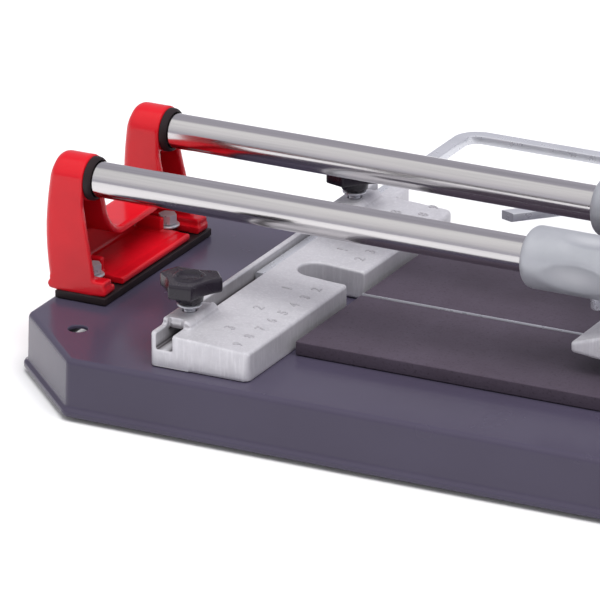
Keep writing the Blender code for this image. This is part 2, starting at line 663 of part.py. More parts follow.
def scale_fence():
    """A cast bar with a sloping top, a channel for the stop bar, a slot for the wheel and two clamp bosses."""
    left, right = CHANNEL_WALL, CHANNEL_WALL + CHANNEL_WIDTH
    width, low = FENCE_WIDTH, FENCE_Z
    profile = [(0, low), (width, low), (width, fence_top(width)), (right, fence_top(right)), (right, CHANNEL_Z),
               (left, CHANNEL_Z), (left, fence_top(left)), (0, fence_top(0))]
    length = FENCE_FRONT + FENCE_TAIL
    middle = (FENCE_TAIL - FENCE_FRONT) / 2
    body = plate("scale_fence", [profile], length, CAST, (FENCE_X, middle, 0), ALONG_Y)
    step = box("fence_step", (FENCE_X + FENCE_TAIL_WIDTH, FENCE_BACK, 0),
               (FENCE_X + 2 * width, 2 * FENCE_TAIL, 2 * TOP), CAST)
    cut(body, [step])
    soften(body, FENCE_EDGE, 2, 60)

    bosses, bores = [], []
    bridge_low = BOSS_TOP - BOSS_RISE - BOSS_BRIDGE
    for sy in (-1, 1):
        y = sy * STUD_Y
        boss = box("clamp_boss", (FENCE_X, y - BOSS_LENGTH / 2, bridge_low),
                   (FENCE_X + BOSS_WIDTH, y + BOSS_LENGTH / 2, BOSS_TOP), CAST)
        bosses.append(soften(boss, FENCE_EDGE, 2, 60))
        bores.append(rod("stud_bore", STUD_DIAMETER / 2 + GAP, CHANNEL_Z + 0.001, 2 * BOSS_TOP, CAST,
                         (CHANNEL_X, y, 0)))
    join(body, bosses)
    half = NOTCH_WIDTH / 2
    notch = [(2 * width, half), *arc((NOTCH_START + half, 0), half, 90, 270, 12), (2 * width, -half)]
    bores.append(plate("wheel_slot", [notch], 4 * TOP, CAST, (FENCE_X, 0, TOP)))
    for x, y in fence_screw_places():
        bores.append(rod("screw_bore", FENCE_SCREW_DIAMETER / 2 + GAP, 0, TOP + 0.009, CAST, (x, y, 0), steps=SMALL))
    return cut(body, bores)


def fence_screws():
    """Pan-head screws from below the tray into the fence."""
    radius, head, thick = FENCE_SCREW_DIAMETER / 2, 0.0046, 0.003
    seat, tip = TOP - SHEET - GAP, TOP + 0.0085
    profile = [(0, tip), (radius, tip), (radius, seat), (head, seat), (head, seat - thick / 2),
               (head * 0.7, seat - thick), (0, seat - thick)]
    for (x, y), row in zip(fence_screw_places(), ("front", "rear")):
        turned(f"fence_screw_{row}", profile, ZINC, (x, y, 0), steps=SMALL)


def lobed(radius, lobe, turn, steps=30):
    """A three-lobed outline: the radius swells and shrinks three times round the circle."""
    points = []
    for i in range(steps):
        angle = 2 * math.pi * i / steps
        reach = radius - lobe + lobe * math.cos(3 * (angle - turn))
        points.append((reach * math.cos(angle), reach * math.sin(angle)))
    return points


def clamp_knobs():
    """Three-lobed knobs on studs that press the stop bar into its channel."""
    stud_low = BAR_Z + BAR_HEIGHT + GAP
    stud_top = KNOB_TOP - 0.003
    radius = STUD_DIAMETER / 2
    for sy, row, turn in ((-1, "front", math.radians(-80)), (1, "rear", math.radians(15))):
        spot = Vector((CHANNEL_X, sy * STUD_Y, 0))
        knob = plate(f"{row}_clamp_knob", [lobed(KNOB_RADIUS, KNOB_LOBE, turn)], KNOB_HEIGHT, PLASTIC,
                     spot + Vector((0, 0, (KNOB_BOTTOM + KNOB_TOP) / 2)))
        soften(knob, 0.0008, 1, 60)
        hub = turned("hub", [(0, KNOB_TOP - 0.001), (HUB_RADIUS, KNOB_TOP - 0.001),
                             (HUB_RADIUS + 0.001, KNOB_BOTTOM), (HUB_RADIUS, HUB_BOTTOM), (0, HUB_BOTTOM)],
                     PLASTIC, spot)
        join(knob, [hub])
        cut(knob, [rod("stud_socket", radius + GAP, 0, stud_top + GAP, PLASTIC, spot)])
        rod(f"{row}_clamp_stud", radius, stud_low, stud_top, ZINC, spot)
        high = HUB_BOTTOM - GAP
        ring(f"{row}_clamp_washer", radius + GAP, WASHER_RADIUS, high - WASHER_THICKNESS, high, ZINC, spot)


def stop_bar():
    """A flat bar bent in plan: along the channel, along the rails, and back in a mitred leg."""
    half = BAR_WIDTH / 2
    corner_x = BAR_CORNER_X - END
    lean = Vector((math.cos(BAR_ANGLE), math.sin(BAR_ANGLE)))
    tip = Vector((corner_x, BAR_BACK_Y)) - lean * (BAR_BACK_Y - BAR_TIP_Y) / lean.y
    route = [Vector((CHANNEL_X, BAR_FRONT_Y)), Vector((CHANNEL_X, BAR_BACK_Y)), Vector((corner_x, BAR_BACK_Y)), tip]
    left, right = [], []
    for i, here in enumerate(route):
        if i in (0, len(route) - 1):
            way = (route[1] - route[0] if i == 0 else route[-1] - route[-2]).normalized()
            out = Vector((-way.y, way.x)) * half
            left.append(here + out)
            right.append(here - out)
            continue
        before, after = (here - route[i - 1]).normalized(), (route[i + 1] - here).normalized()
        swing = before.angle_signed(after)  # clockwise is positive, and both bends are clockwise
        centre_out = BAR_BEND / math.tan((math.pi - swing) / 2)
        start = here - before * centre_out
        centre = start + Vector((before.y, -before.x)) * BAR_BEND
        first = math.degrees(math.atan2(*reversed(start - centre)))
        last = first - math.degrees(swing)
        left += [Vector(p) for p in arc(centre, BAR_BEND + half, first, last, 8)]
        right += [Vector(p) for p in arc(centre, BAR_BEND - half, first, last, 8)]
    outline = [(p.x - CHANNEL_X, p.y) for p in left + right[::-1]]
    bar = plate("stop_bar", [outline], BAR_HEIGHT, ZINC, (CHANNEL_X, 0, BAR_Z + BAR_HEIGHT / 2))
    clear = CHANNEL_X + 2 * BAR_WIDTH
    trim = box("bar_trim", (clear, BAR_TIP_Y - BAR_BEND, 0), (corner_x, BAR_TIP_Y, 2 * TOP), ZINC)
    return cut(bar, [trim])


# ---------------------------------------------------------------------------- the carriage
def sleeve_profile():
    """Half of one sleeve's outline, its left end well rounded."""
    outer, length, edge = SLEEVE_RADIUS, SLEEVE_LENGTH, SLEEVE_ROUND
    rounded = [(outer - 0.55 * edge * (1 - math.cos(math.radians(d))), edge * (1 - math.sin(math.radians(d))))
               for d in (0, 25, 50, 70, 90)]
    return [(0, length), (outer - 0.0015, length), (outer, length - 0.0015), *rounded, (0, 0)]


def carriage_body():
    """Two sleeves joined by a bridge, with a window for the lever and two ears for its pivot pin."""
    start = SLEEVE_X + BRIDGE_START
    low, high = RAIL_Z - BRIDGE_DROP, RAIL_Z + BRIDGE_RISE
    body = box("carriage_body", (start, -RAIL_Y, low), (start + BRIDGE_LENGTH, RAIL_Y, high), CAST)
    soften(body, 0.002, 2)
    sleeves, ears, bores = [], [], []
    for sy in (-1, 1):
        spot = (SLEEVE_X, sy * RAIL_Y, RAIL_Z)
        sleeves.append(turned("sleeve", sleeve_profile(), CAST, spot, ALONG_X, FINE))
        outline = arc((PIVOT.x, PIVOT.z), EAR_RADIUS, 0, 180, 10)
        outline += [(PIVOT.x - 1.5 * EAR_RADIUS, high - 0.002), (PIVOT.x + 1.5 * EAR_RADIUS, high - 0.002)]
        y = sy * EAR_OUTER / 2
        ears.append(plate("ear", [outline], EAR_OUTER, CAST, (0, y, 0), ALONG_Y))
        bores.append(rod("liner_bore", RAIL_RADIUS + RUNNING_GAP + LINER_WALL + GAP, SLEEVE_LIP,
                         2 * SLEEVE_LENGTH, CAST, spot, ALONG_X, FINE))
        bores.append(rod("rail_bore", RAIL_RADIUS + RUNNING_GAP, -SLEEVE_LENGTH, SLEEVE_LENGTH / 2, CAST, spot,
                         ALONG_X, FINE))
        screw_x = SLEEVE_X + SLEEVE_SCREW_X
        bores.append(rod("screw_bore", SLEEVE_SCREW_DIAMETER / 2 + GAP, -2 * SLEEVE_RADIUS, -RAIL_RADIUS, CAST,
                         (screw_x, sy * RAIL_Y, RAIL_Z), OFF_AXIS, SMALL))
    join(body, [*sleeves, *ears])
    window_x = SLEEVE_X + WINDOW_START
    bores.append(box("window", (window_x, -WINDOW_HALF, low - 0.01),
                     (window_x + WINDOW_LENGTH, WINDOW_HALF, high + 0.05), CAST))
    bores.append(rod("pin_bore", PIVOT_DIAMETER / 2 + GAP, -RAIL_Y / 2, RAIL_Y / 2, CAST, PIVOT, ALONG_Y))
    return cut(body, bores)


def liners():
    """A bronze liner in each sleeve, running on the rail."""
    inner = RAIL_RADIUS + RUNNING_GAP
    low, high = SLEEVE_LIP + GAP, SLEEVE_LENGTH - GAP
    for sy, row in ((-1, "front"), (1, "rear")):
        ring(f"sleeve_liner_{row}", inner, inner + LINER_WALL, low, high, BRONZE,
             (SLEEVE_X, sy * RAIL_Y, RAIL_Z), ALONG_X, FINE)


def sleeve_screws():
    """Adjusting screws that press up on the liners from below."""
    radius = SLEEVE_SCREW_DIAMETER / 2
    high = -RAIL_RADIUS - RUNNING_GAP - LINER_WALL - 2 * GAP
    low = -SLEEVE_RADIUS - SLEEVE_SCREW_DROP
    profile = [(0, high), (radius, high), (radius, low + 0.0005), (radius - 0.0005, low), (0, low)]
    for sy, row in ((-1, "front"), (1, "rear")):
        turned(f"sleeve_screw_{row}", profile, ZINC, (SLEEVE_X + SLEEVE_SCREW_X, sy * RAIL_Y, RAIL_Z), steps=SMALL)


def hull(circles, steps=10):
    """The outline round two circles (x, z, radius), as a belt round two pulleys."""
    (xa, za, ra), (xb, zb, rb) = circles
    span = math.hypot(xb - xa, zb - za)
    way = math.degrees(math.atan2(zb - za, xb - xa))
    lean = math.degrees(math.acos((ra - rb) / span))
    return arc((xb, zb), rb, way - lean, way + lean, steps) + arc((xa, za), ra, way + lean, way + 360 - lean, steps)


def lever_arm():
    """A cast arm: a hub on the pivot, a toe for the breaker, a stem for the wheel holder, a handle socket."""
    thick = 2 * LEVER_HALF
    hub = (0, 0, LEVER_HEAD)
    arm = plate("lever_arm", [hull([hub, (TOE_X, TOE_Z, TOE_RADIUS)])], thick, CAST, PIVOT, ALONG_Y)
    neck = SOCKET_START + 0.004
    neck_x, neck_z = neck * math.cos(HANDLE_ANGLE), neck * math.sin(HANDLE_ANGLE)
    along_handle = Matrix.Rotation(math.pi / 2 - HANDLE_ANGLE, 3, "Y")
    r = SOCKET_RADIUS
    socket = [(0, SOCKET_END), (r - 0.002, SOCKET_END), (r - 0.0005, SOCKET_END - 0.0015),
              (r, SOCKET_START + 0.003), (r - 0.0025, SOCKET_START), (0, SOCKET_START)]
    join(arm, [
        plate("stem", [hull([hub, (HOLDER_X, -STEM_DROP, STEM_RADIUS)])], thick - GAP, CAST, PIVOT, ALONG_Y),
        plate("neck", [hull([hub, (neck_x, neck_z, 0.8 * r)])], thick - 2 * GAP, CAST, PIVOT, ALONG_Y),
        turned("socket", socket, CAST, PIVOT, along_handle),
    ])
    width, play = HOLDER_WIDTH / 2 + GAP, HOLDER_HALF + GAP
    return cut(arm, [
        rod("pivot_bore", PIVOT_DIAMETER / 2 + GAP, -thick, thick, CAST, PIVOT, ALONG_Y),
        rod("toe_bore", TOE_PIN_DIAMETER / 2 + GAP, -thick, thick, CAST, TOE, ALONG_Y, SMALL),
        rod("handle_bore", HANDLE_DIAMETER / 2 + GAP, HANDLE_START - GAP, HANDLE_LENGTH, CAST, PIVOT, along_handle),
        box("holder_socket", (WHEEL.x - width, -play, WHEEL.z), (WHEEL.x + width, play, HOLDER_TOP + GAP), CAST),
        rod("clamp_bore", HOLDER_SCREW_RADIUS + GAP, 0, thick, CAST,
            (WHEEL.x, 0, PIVOT.z - HOLDER_SCREW_DROP), ALONG_Y, SMALL),
    ])


def handle():
    """A chromed tube in the lever's socket with a ribbed grip on its end."""
    along = Matrix.Rotation(math.pi / 2 - HANDLE_ANGLE, 3, "Y")
    r, start, stop = HANDLE_DIAMETER / 2, HANDLE_START, HANDLE_LENGTH
    rod("handle_tube", r, start, stop - 0.006, CHROME, PIVOT, along)
    low = stop - GRIP_LENGTH
    inner = r + GAP
    outer = []
    ribs = 9
    for i in range(ribs * 4 + 1):
        t = i / (ribs * 4)
        swell = 0.82 + 0.18 * math.sin(math.pi * min(1, 0.15 + 0.85 * t))
        groove = 0.0006 if i % 4 == 2 else 0
        outer.append((GRIP_RADIUS * swell - groove, low + 0.004 + t * (GRIP_LENGTH - 0.010)))
    hollow = stop - 0.005
    profile = [(0, stop), (GRIP_RADIUS * 0.45, stop), (GRIP_RADIUS * 0.72, stop - 0.002), *outer[::-1],
               (r + 0.0035, low), (inner, low), (inner, hollow), (0, hollow)]
    turned("handle_grip", profile, PLASTIC, PIVOT, along)


def pivot_pin():
    """Headed pin through the carriage's ears and the lever."""
    r, reach = PIVOT_DIAMETER / 2, EAR_OUTER + GAP
    profile = [(0, reach + 0.004), (0.0058, reach + 0.004), (0.0066, reach + 0.003), (0.0066, reach), (r, reach),
               (r, -reach - 0.003), (r - 0.001, -reach - 0.004), (0, -reach - 0.004)]
    turned("pivot_pin", profile, ZINC, PIVOT, ALONG_Y)


def wheel_set():
    """Forked holder, axle and scoring wheel, with the grub screw that clamps the holder in the lever."""
    width, half, tail = HOLDER_WIDTH / 2, HOLDER_HALF, 0.0052
    holder = box("wheel_holder", (WHEEL.x - width, -half, WHEEL.z - tail), (WHEEL.x + width, half, HOLDER_TOP),
                 ZINC, PIVOT)
    soften(holder, 0.0012, 2, 60)
    play, reach = WHEEL_THICKNESS / 2 + GAP, WHEEL_RADIUS + 0.001
    fork = box("fork_gap", (WHEEL.x - reach, -play, WHEEL.z - reach), (WHEEL.x + reach, play, WHEEL.z + reach), ZINC)
    axle = WHEEL_AXLE_DIAMETER / 2
    cut(holder, [fork, rod("axle_bore", axle + GAP, -reach, reach, ZINC, WHEEL, ALONG_Y, SMALL)])
    rod("wheel_axle", axle, -half - 0.0012, half + 0.0012, ZINC, WHEEL, ALONG_Y, SMALL)
    flank, rim, edge = WHEEL_THICKNESS / 2, WHEEL_RADIUS, 0.0001
    profile = [(axle + GAP, flank), (rim - 0.0035, flank), (rim, edge), (rim, -edge), (rim - 0.0035, -flank),
               (axle + GAP, -flank)]
    turned("scoring_wheel", profile, CARBIDE, WHEEL, ALONG_Y, 32, closed=True)
    rod("holder_screw", HOLDER_SCREW_RADIUS, HOLDER_HALF + GAP, LEVER_HALF - GAP, ZINC,
        (WHEEL.x, 0, PIVOT.z - HOLDER_SCREW_DROP), ALONG_Y, SMALL)


def breaker_foot():
    """A forked foot whose two soles press the tile on either side of the line, hung on a pin by two arms."""
    nose, heel, under = -BREAKER_NOSE, BREAKER_HEEL, -BREAKER_UNDER
    crown, toe = under + BREAKER_THICKNESS, under + BREAKER_TOE_LIFT
    outline = [(nose + 0.0012, toe), (nose + 0.012, under), (heel, under), (heel, crown - 0.003),
               (heel - 0.003, crown), (nose + BREAKER_RAMP, crown), (nose, toe + BREAKER_EDGE),
               (nose, toe + 0.0012)]
    foot = plate("breaker_foot", [outline], 2 * BREAKER_HALF, CAST, TOE, ALONG_Y)
    soften(foot, 0.0006, 1, 30)
    clear = LEVER_HALF + BREAKER_PLAY
    middle = clear + BREAKER_ARM / 2
    arm = hull([(0, 0, 0.0062), (0, crown - 0.006, 0.0075)])
    join(foot, [plate("arm", [arm], BREAKER_ARM, CAST, TOE + Vector((0, sy * middle, 0)), ALONG_Y)
                for sy in (-1, 1)])
    slot = TOE.x - BREAKER_SLOT
    room = TOE.z - TOE_RADIUS - BREAKER_PLAY
    far = 2 * BREAKER_NOSE
    return cut(foot, [
        box("wheel_slot", (TOE.x - far, -clear, 0), (slot, clear, PIVOT.z), CAST),
        box("toe_room", (slot - 0.001, -clear, room), (TOE.x + far, clear, PIVOT.z), CAST),
        box("line_relief", (slot - 0.001, -clear, 0), (TOE.x + far, clear, TOE.z + under + BREAKER_RELIEF), CAST),
        rod("pin_bore", TOE_PIN_DIAMETER / 2 + GAP, -far, far, CAST, TOE, ALONG_Y, SMALL),
    ])


def breaker_pin():
    """Bolt through the breaker's arms and the lever's toe, with its nut."""
    r = TOE_PIN_DIAMETER / 2
    reach = LEVER_HALF + BREAKER_PLAY + BREAKER_ARM + GAP
    head, nut = 0.0035, 0.0040
    bolt = plate("breaker_pin", [hexagon(BOLT_HEAD_ACROSS, 20)], head, ZINC,
                 TOE + Vector((0, reach + head / 2, 0)), ALONG_Y)
    join(bolt, [rod("shank", r, -reach - 0.001, reach + nut + 0.0015, ZINC, TOE, ALONG_Y, SMALL)])
    bore = arc((0, 0), r + GAP, 0, 337.5, 15)
    plate("breaker_nut", [hexagon(BOLT_HEAD_ACROSS, 5), bore], nut, ZINC,
          TOE + Vector((0, -reach - nut / 2, 0)), ALONG_Y)


base_tray()
feet()
bed()
brackets_and_gaskets()
rails()
collars()
fasteners()
scale_fence()
fence_screws()
clamp_knobs()
stop_bar()
carriage_body()
liners()
sleeve_screws()
lever_arm()
handle()
pivot_pin()
wheel_set()
breaker_foot()
breaker_pin()
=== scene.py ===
"""The looks of a manual tile cutter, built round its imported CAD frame.

Lengths are in millimetres inside the shape functions, measured like this: x along the rails as in the frame,
y from the scoring line, z up from the bench. put() turns them into metres and moves them onto the frame.
"""

import math

import bmesh
import bpy
import numpy as np
from mathutils import Matrix, Vector


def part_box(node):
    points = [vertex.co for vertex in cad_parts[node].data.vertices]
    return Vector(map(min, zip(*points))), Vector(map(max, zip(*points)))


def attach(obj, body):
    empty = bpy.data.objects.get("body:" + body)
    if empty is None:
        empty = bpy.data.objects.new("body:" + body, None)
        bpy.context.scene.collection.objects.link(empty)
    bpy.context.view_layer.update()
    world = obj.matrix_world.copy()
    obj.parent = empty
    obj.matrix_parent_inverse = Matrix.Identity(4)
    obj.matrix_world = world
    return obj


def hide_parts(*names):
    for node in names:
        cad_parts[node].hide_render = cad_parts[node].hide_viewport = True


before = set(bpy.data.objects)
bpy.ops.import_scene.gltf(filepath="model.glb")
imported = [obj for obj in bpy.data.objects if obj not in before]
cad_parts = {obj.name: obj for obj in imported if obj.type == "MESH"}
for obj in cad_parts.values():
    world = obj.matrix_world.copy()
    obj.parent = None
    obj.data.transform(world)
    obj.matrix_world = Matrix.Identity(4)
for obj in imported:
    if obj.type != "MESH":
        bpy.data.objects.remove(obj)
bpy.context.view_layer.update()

MM = 1000.0

# ------------------------------------------------------------------------------------- sizes from the frame


def span(node):
    """Lowest and highest corner of a CAD node in millimetres, y still as in the frame."""
    low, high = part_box(node)
    return np.array(low) * MM, np.array(high) * MM


RIDGE = span("breaking_ridge")
LINE = (RIDGE[0][1] + RIDGE[1][1]) / 2  # the scoring line's y in the frame
TRAY = span("base_tray")
END, TOP = TRAY[1][0], TRAY[1][2]
HALF_WIDTH = (TRAY[1][1] - TRAY[0][1]) / 2
RAIL = span("front_rail")
RAIL_R = (RAIL[1][2] - RAIL[0][2]) / 2
RAIL_Z = (RAIL[1][2] + RAIL[0][2]) / 2
RAIL_Y = LINE - (RAIL[1][1] + RAIL[0][1]) / 2
BOLT = span("bolt_left_front")
BOLT_X = (BOLT[0][0] + BOLT[1][0]) / 2 + END
FENCE = span("scale_fence")
FENCE_X = FENCE[0][0]
BODY = span("carriage_body")
SLEEVE_X = BODY[0][0]
PIN = span("pivot_pin")
GRUB = span("sleeve_screw_front")
SCREW_X = (GRUB[0][0] + GRUB[1][0]) / 2 - SLEEVE_X
PIVOT = ((PIN[0][0] + PIN[1][0]) / 2, (PIN[0][2] + PIN[1][2]) / 2)
AXLE = span("wheel_axle")
WHEEL = ((AXLE[0][0] + AXLE[1][0]) / 2, (AXLE[0][2] + AXLE[1][2]) / 2)
TOE = (PIVOT[0] + 20.0, PIVOT[1] - 36.0)
HANDLE_ANGLE = math.radians(47)
GAP = 0.3
BENCH_HOLE_INSET = 30.3
BENCH_HOLE_OUT = 74.2
BENCH_HOLE_R = 4.0

SIDES = {"left": -1, "right": 1}
ROWS = {"front": -1, "rear": 1}

# ------------------------------------------------------------------------------------- mesh helpers


def mark(mesh, name, values):
    """Stores one number per point for the finishes to read."""
    layer = mesh.attributes.new(name, "FLOAT", "POINT")
    layer.data.foreach_set("value", np.asarray(values, np.float32))


def put(name, verts, faces, body, slot, skin, nodes, angle=40, keep=False, marks=None):
    """A piece from millimetre points and faces: onto the frame, shaded, skinned, riding and replacing.
    marks are the openness and edge values of each point; without them every point is open and away from
    edges."""
    points = (np.asarray(verts, float) + (0, LINE, 0)) / MM
    mesh = bpy.data.meshes.new(name)
    mesh.from_pydata(points, [], faces if isinstance(faces, list) else faces.tolist())
    mesh.validate()
    mesh.shade_smooth()
    if angle:
        mesh.set_sharp_from_angle(angle=math.radians(angle))
    mesh.materials.append(skin)
    # The openness mark sets how much painted shade a finish puts into a point's colour: little openness, in
    # hollows and crevices, gets the darker colour.
    if marks is None:
        marks = (np.ones(len(mesh.vertices)), np.zeros(len(mesh.vertices)))
    mark(mesh, "open", marks[0])
    mark(mesh, "edge", marks[1])
    piece = bpy.data.objects.new(name, mesh)
    bpy.context.scene.collection.objects.link(piece)
    if keep:
        return piece
    return dress(piece, body, nodes)


def dress(piece, body, nodes):
    """Hangs a finished piece on its body and hides the CAD nodes that it stands for."""
    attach(piece, body)
    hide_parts(*nodes)
    return piece


def skin_rings(rings, closed=False):
    """Points and faces through an array of rings (rings, points, xyz): quads between neighbours, each
    ring closed on itself, and either a face over the first and last rings or, if closed, quads from the
    last to the first."""
    count, size = rings.shape[:2]
    here = np.arange(count * size).reshape(count, size)
    if closed:
        here = np.vstack([here, here[:1]])
    a, b = here[:-1], here[1:]
    quads = np.stack([a, np.roll(a, -1, 1), np.roll(b, -1, 1), b], -1).reshape(-1, 4)
    faces = quads.tolist()
    if not closed:
        faces += [here[0][::-1].tolist(), here[-1].tolist()]
    return rings.reshape(-1, 3), faces


def circle(count):
    """Unit circle: cosine and sine of evenly spaced angles."""
    angle = np.linspace(0, 2 * np.pi, count, endpoint=False)
    return np.cos(angle), np.sin(angle)


AXES = {"x": (1, 2, 0), "y": (2, 0, 1), "z": (0, 1, 2)}


def lathe(profile, centre, axis="z", count=64, closed=False, turn=None):
    """A profile of (radius, height) turned round an axis: each point goes to centre + height along the
    axis + radius times (cosine, sine) across it."""
    profile = np.asarray(profile, float)
    c, s = circle(count)
    radius, height = profile[:, :1], profile[:, 1:]
    rings = np.zeros((len(profile), count, 3))
    u, v, w = AXES[axis]
    rings[..., u] = radius * c
    rings[..., v] = radius * s
    rings[..., w] = height
    if turn is not None:
        rings = rings @ turn.T
    return skin_rings(rings + np.asarray(centre, float), closed)


def rounded(corners, radius, steps=5):
    """A polyline's corners replaced by arcs: each arc is tangent to both edges, radius away from its
    corner's bisector. corners is a list of (a, b) with an optional own radius as third value."""
    out = []
    count = len(corners)
    for i, corner in enumerate(corners):
        here = np.array(corner[:2], float)
        r = corner[2] if len(corner) > 2 else radius
        before = np.array(corners[i - 1][:2]) - here
        after = np.array(corners[(i + 1) % count][:2]) - here
        before, after = before / np.linalg.norm(before), after / np.linalg.norm(after)
        half = math.acos(float(np.clip(before @ after, -1, 1))) / 2
        if r <= 0 or half > 1.56:
            out.append(here)
            continue
        reach = r / math.tan(half)
        start, stop = here + before * reach, here + after * reach
        middle = before + after
        centre = here + middle / np.linalg.norm(middle) * r / math.sin(half)
        a0 = math.atan2(*(start - centre)[::-1])
        a1 = math.atan2(*(stop - centre)[::-1])
        sweep = (a1 - a0 + math.pi) % (2 * math.pi) - math.pi
        for t in np.linspace(0, 1, steps + 1):
            out.append(centre + r * np.array([math.cos(a0 + sweep * t), math.sin(a0 + sweep * t)]))
    return np.array(out)


def round_block(low, high, radius, steps=4):
    """A box with every edge rounded: a sphere's quarter arcs pushed out to the box's corners, ring by
    ring."""
    low, high = np.asarray(low, float), np.asarray(high, float)
    centre, half = (low + high) / 2, (high - low) / 2 - radius
    arc = np.linspace(0, np.pi / 2, steps + 1)
    turn = np.concatenate([arc + k * np.pi / 2 for k in range(4)])
    sx = np.repeat([1, -1, -1, 1], steps + 1)
    sy = np.repeat([1, 1, -1, -1], steps + 1)
    lift = np.concatenate([arc - np.pi / 2, arc])
    sz = np.repeat([-1, 1], steps + 1)
    rings = np.zeros((len(lift), len(turn), 3))
    flat = np.cos(lift)[:, None]
    rings[..., 0] = sx * half[0] + radius * flat * np.cos(turn)
    rings[..., 1] = sy * half[1] + radius * flat * np.sin(turn)
    rings[..., 2] = (sz * half[2] + radius * np.sin(lift))[:, None]
    return skin_rings(rings + centre)


def nets(field, low, high, step):
    """The closed skin where a distance field is zero. Each grid cell whose corners differ in sign gets a
    point at the mean of its edges' crossings, each grid edge whose ends differ gets a quad round it, and
    the points then slide down the field's own gradient onto the zero surface."""
    low = np.asarray(low, float) - 2.2 * step
    counts = np.ceil((np.asarray(high, float) + 2.2 * step - low) / step).astype(int) + 1
    grid = np.meshgrid(*[low[i] + step * np.arange(counts[i]) for i in range(3)], indexing="ij")
    value = field(*grid)
    inside = value < 0
    cells = counts - 1
    total = np.zeros((*cells, 3))
    hits = np.zeros(cells)
    corner = lambda a, o: a[tuple(slice(o[i], o[i] + cells[i]) for i in range(3))]
    for axis in range(3):
        for p in (0, 1):
            for q in (0, 1):
                start = [p, q]
                start.insert(axis, 0)
                stop = list(start)
                stop[axis] = 1
                va, vb = corner(value, start), corner(value, stop)
                cross = corner(inside, start) != corner(inside, stop)
                t = np.where(cross, va / np.where(cross, va - vb, 1), 0)
                place = np.array(start, float) * np.ones((*cells, 3))
                place[..., axis] = t
                total += place * cross[..., None]
                hits += cross
    active = hits > 0
    index = np.full(cells, -1)
    index[active] = np.arange(active.sum())
    cell = np.stack(np.nonzero(active), -1)
    points = low + step * (cell + total[active] / hits[active][:, None])
    quads = []
    for axis in range(3):
        u, v = (axis + 1) % 3, (axis + 2) % 3
        a = [slice(1, -1)] * 3
        b = [slice(1, -1)] * 3
        a[axis], b[axis] = slice(0, -1), slice(1, None)
        flip = inside[tuple(a)] != inside[tuple(b)]
        where = np.stack(np.nonzero(flip), -1)
        where[:, u] += 1
        where[:, v] += 1
        outward = inside[tuple(a)][flip]
        ring = []
        for du, dv in ((-1, -1), (0, -1), (0, 0), (-1, 0)):
            at = where.copy()
            at[:, u] += du
            at[:, v] += dv
            ring.append(index[at[:, 0], at[:, 1], at[:, 2]])
        ring = np.stack(ring, -1)
        ring[~outward] = ring[~outward][:, ::-1]
        quads.append(ring)
    tiny = step * 0.02
    for _ in range(4):
        here = field(*points.T)
        slope = np.stack([(field(*(points + nudge).T) - field(*(points - nudge).T)) / (2 * tiny)
                          for nudge in tiny * np.eye(3)], -1)
        size = np.maximum((slope**2).sum(-1), 0.2)
        points -= np.clip(here / size, -0.4 * step, 0.4 * step)[:, None] * slope * 0.9
    slope /= np.linalg.norm(slope, axis=1)[:, None]
    # Two numbers per point, sampled along its normal: how open it is to the outside, low in hollows, where
    # the finishes paint shade; and how near it lies to an edge.
    free, solid = 0, 0
    for reach in (1.5, 3.0, 6.0):
        free = free + np.clip(field(*(points + reach * slope).T) / reach, 0, 1) / 3
    for reach in (0.7, 1.4):
        solid = solid + np.clip(-field(*(points - reach * slope).T) / reach, 0, 1) / 2
    return points, np.concatenate(quads), (free, 1 - solid)


# ------------------------------------------------------------------------------------- distance fields


def both(a, b, r=0.0):
    """Where both fields are solid, the edge between them rounded to r."""
    if r == 0:
        return np.maximum(a, b)
    return np.minimum(-r, np.maximum(a, b)) + np.hypot(np.maximum(r + a, 0), np.maximum(r + b, 0))


def either(a, b, r=0.0):
    """Where either field is solid, the corner between them filled to radius r."""
    return -both(-a, -b, r)


def less(a, b, r=0.0):
    """The first field's solid without the second's, the new edge rounded to r."""
    return both(a, -b, r)


def block(x, y, z, low, high, r=0.0):
    """Distance to a box with rounded edges: how far a point is outside the shrunken box, less the
    radius."""
    spots = [np.abs(p - (a + b) / 2) - ((b - a) / 2 - r) for p, a, b in zip((x, y, z), low, high)]
    out = np.sqrt(sum(np.maximum(s, 0) ** 2 for s in spots))
    return out + np.minimum(np.maximum(np.maximum(spots[0], spots[1]), spots[2]), 0) - r


def belt(x, z, first, second):
    """Distance in a plane to the belt round two circles: the distance to the middle line, less a radius
    that runs evenly from one circle's to the other's."""
    (xa, za, ra), (xb, zb, rb) = first, second
    dx, dz = xb - xa, zb - za
    length = math.hypot(dx, dz)
    lean = (rb - ra) / length
    t = ((x - xa) * dx + (z - za) * dz) / length**2
    off = np.abs((x - xa) * dz - (z - za) * dx) / length
    t = np.clip(t + off * lean / math.sqrt(1 - lean**2) / length, 0, 1)
    return np.hypot(x - xa - t * dx, z - za - t * dz) - (ra + t * (rb - ra))


# ------------------------------------------------------------------------------------- finishes


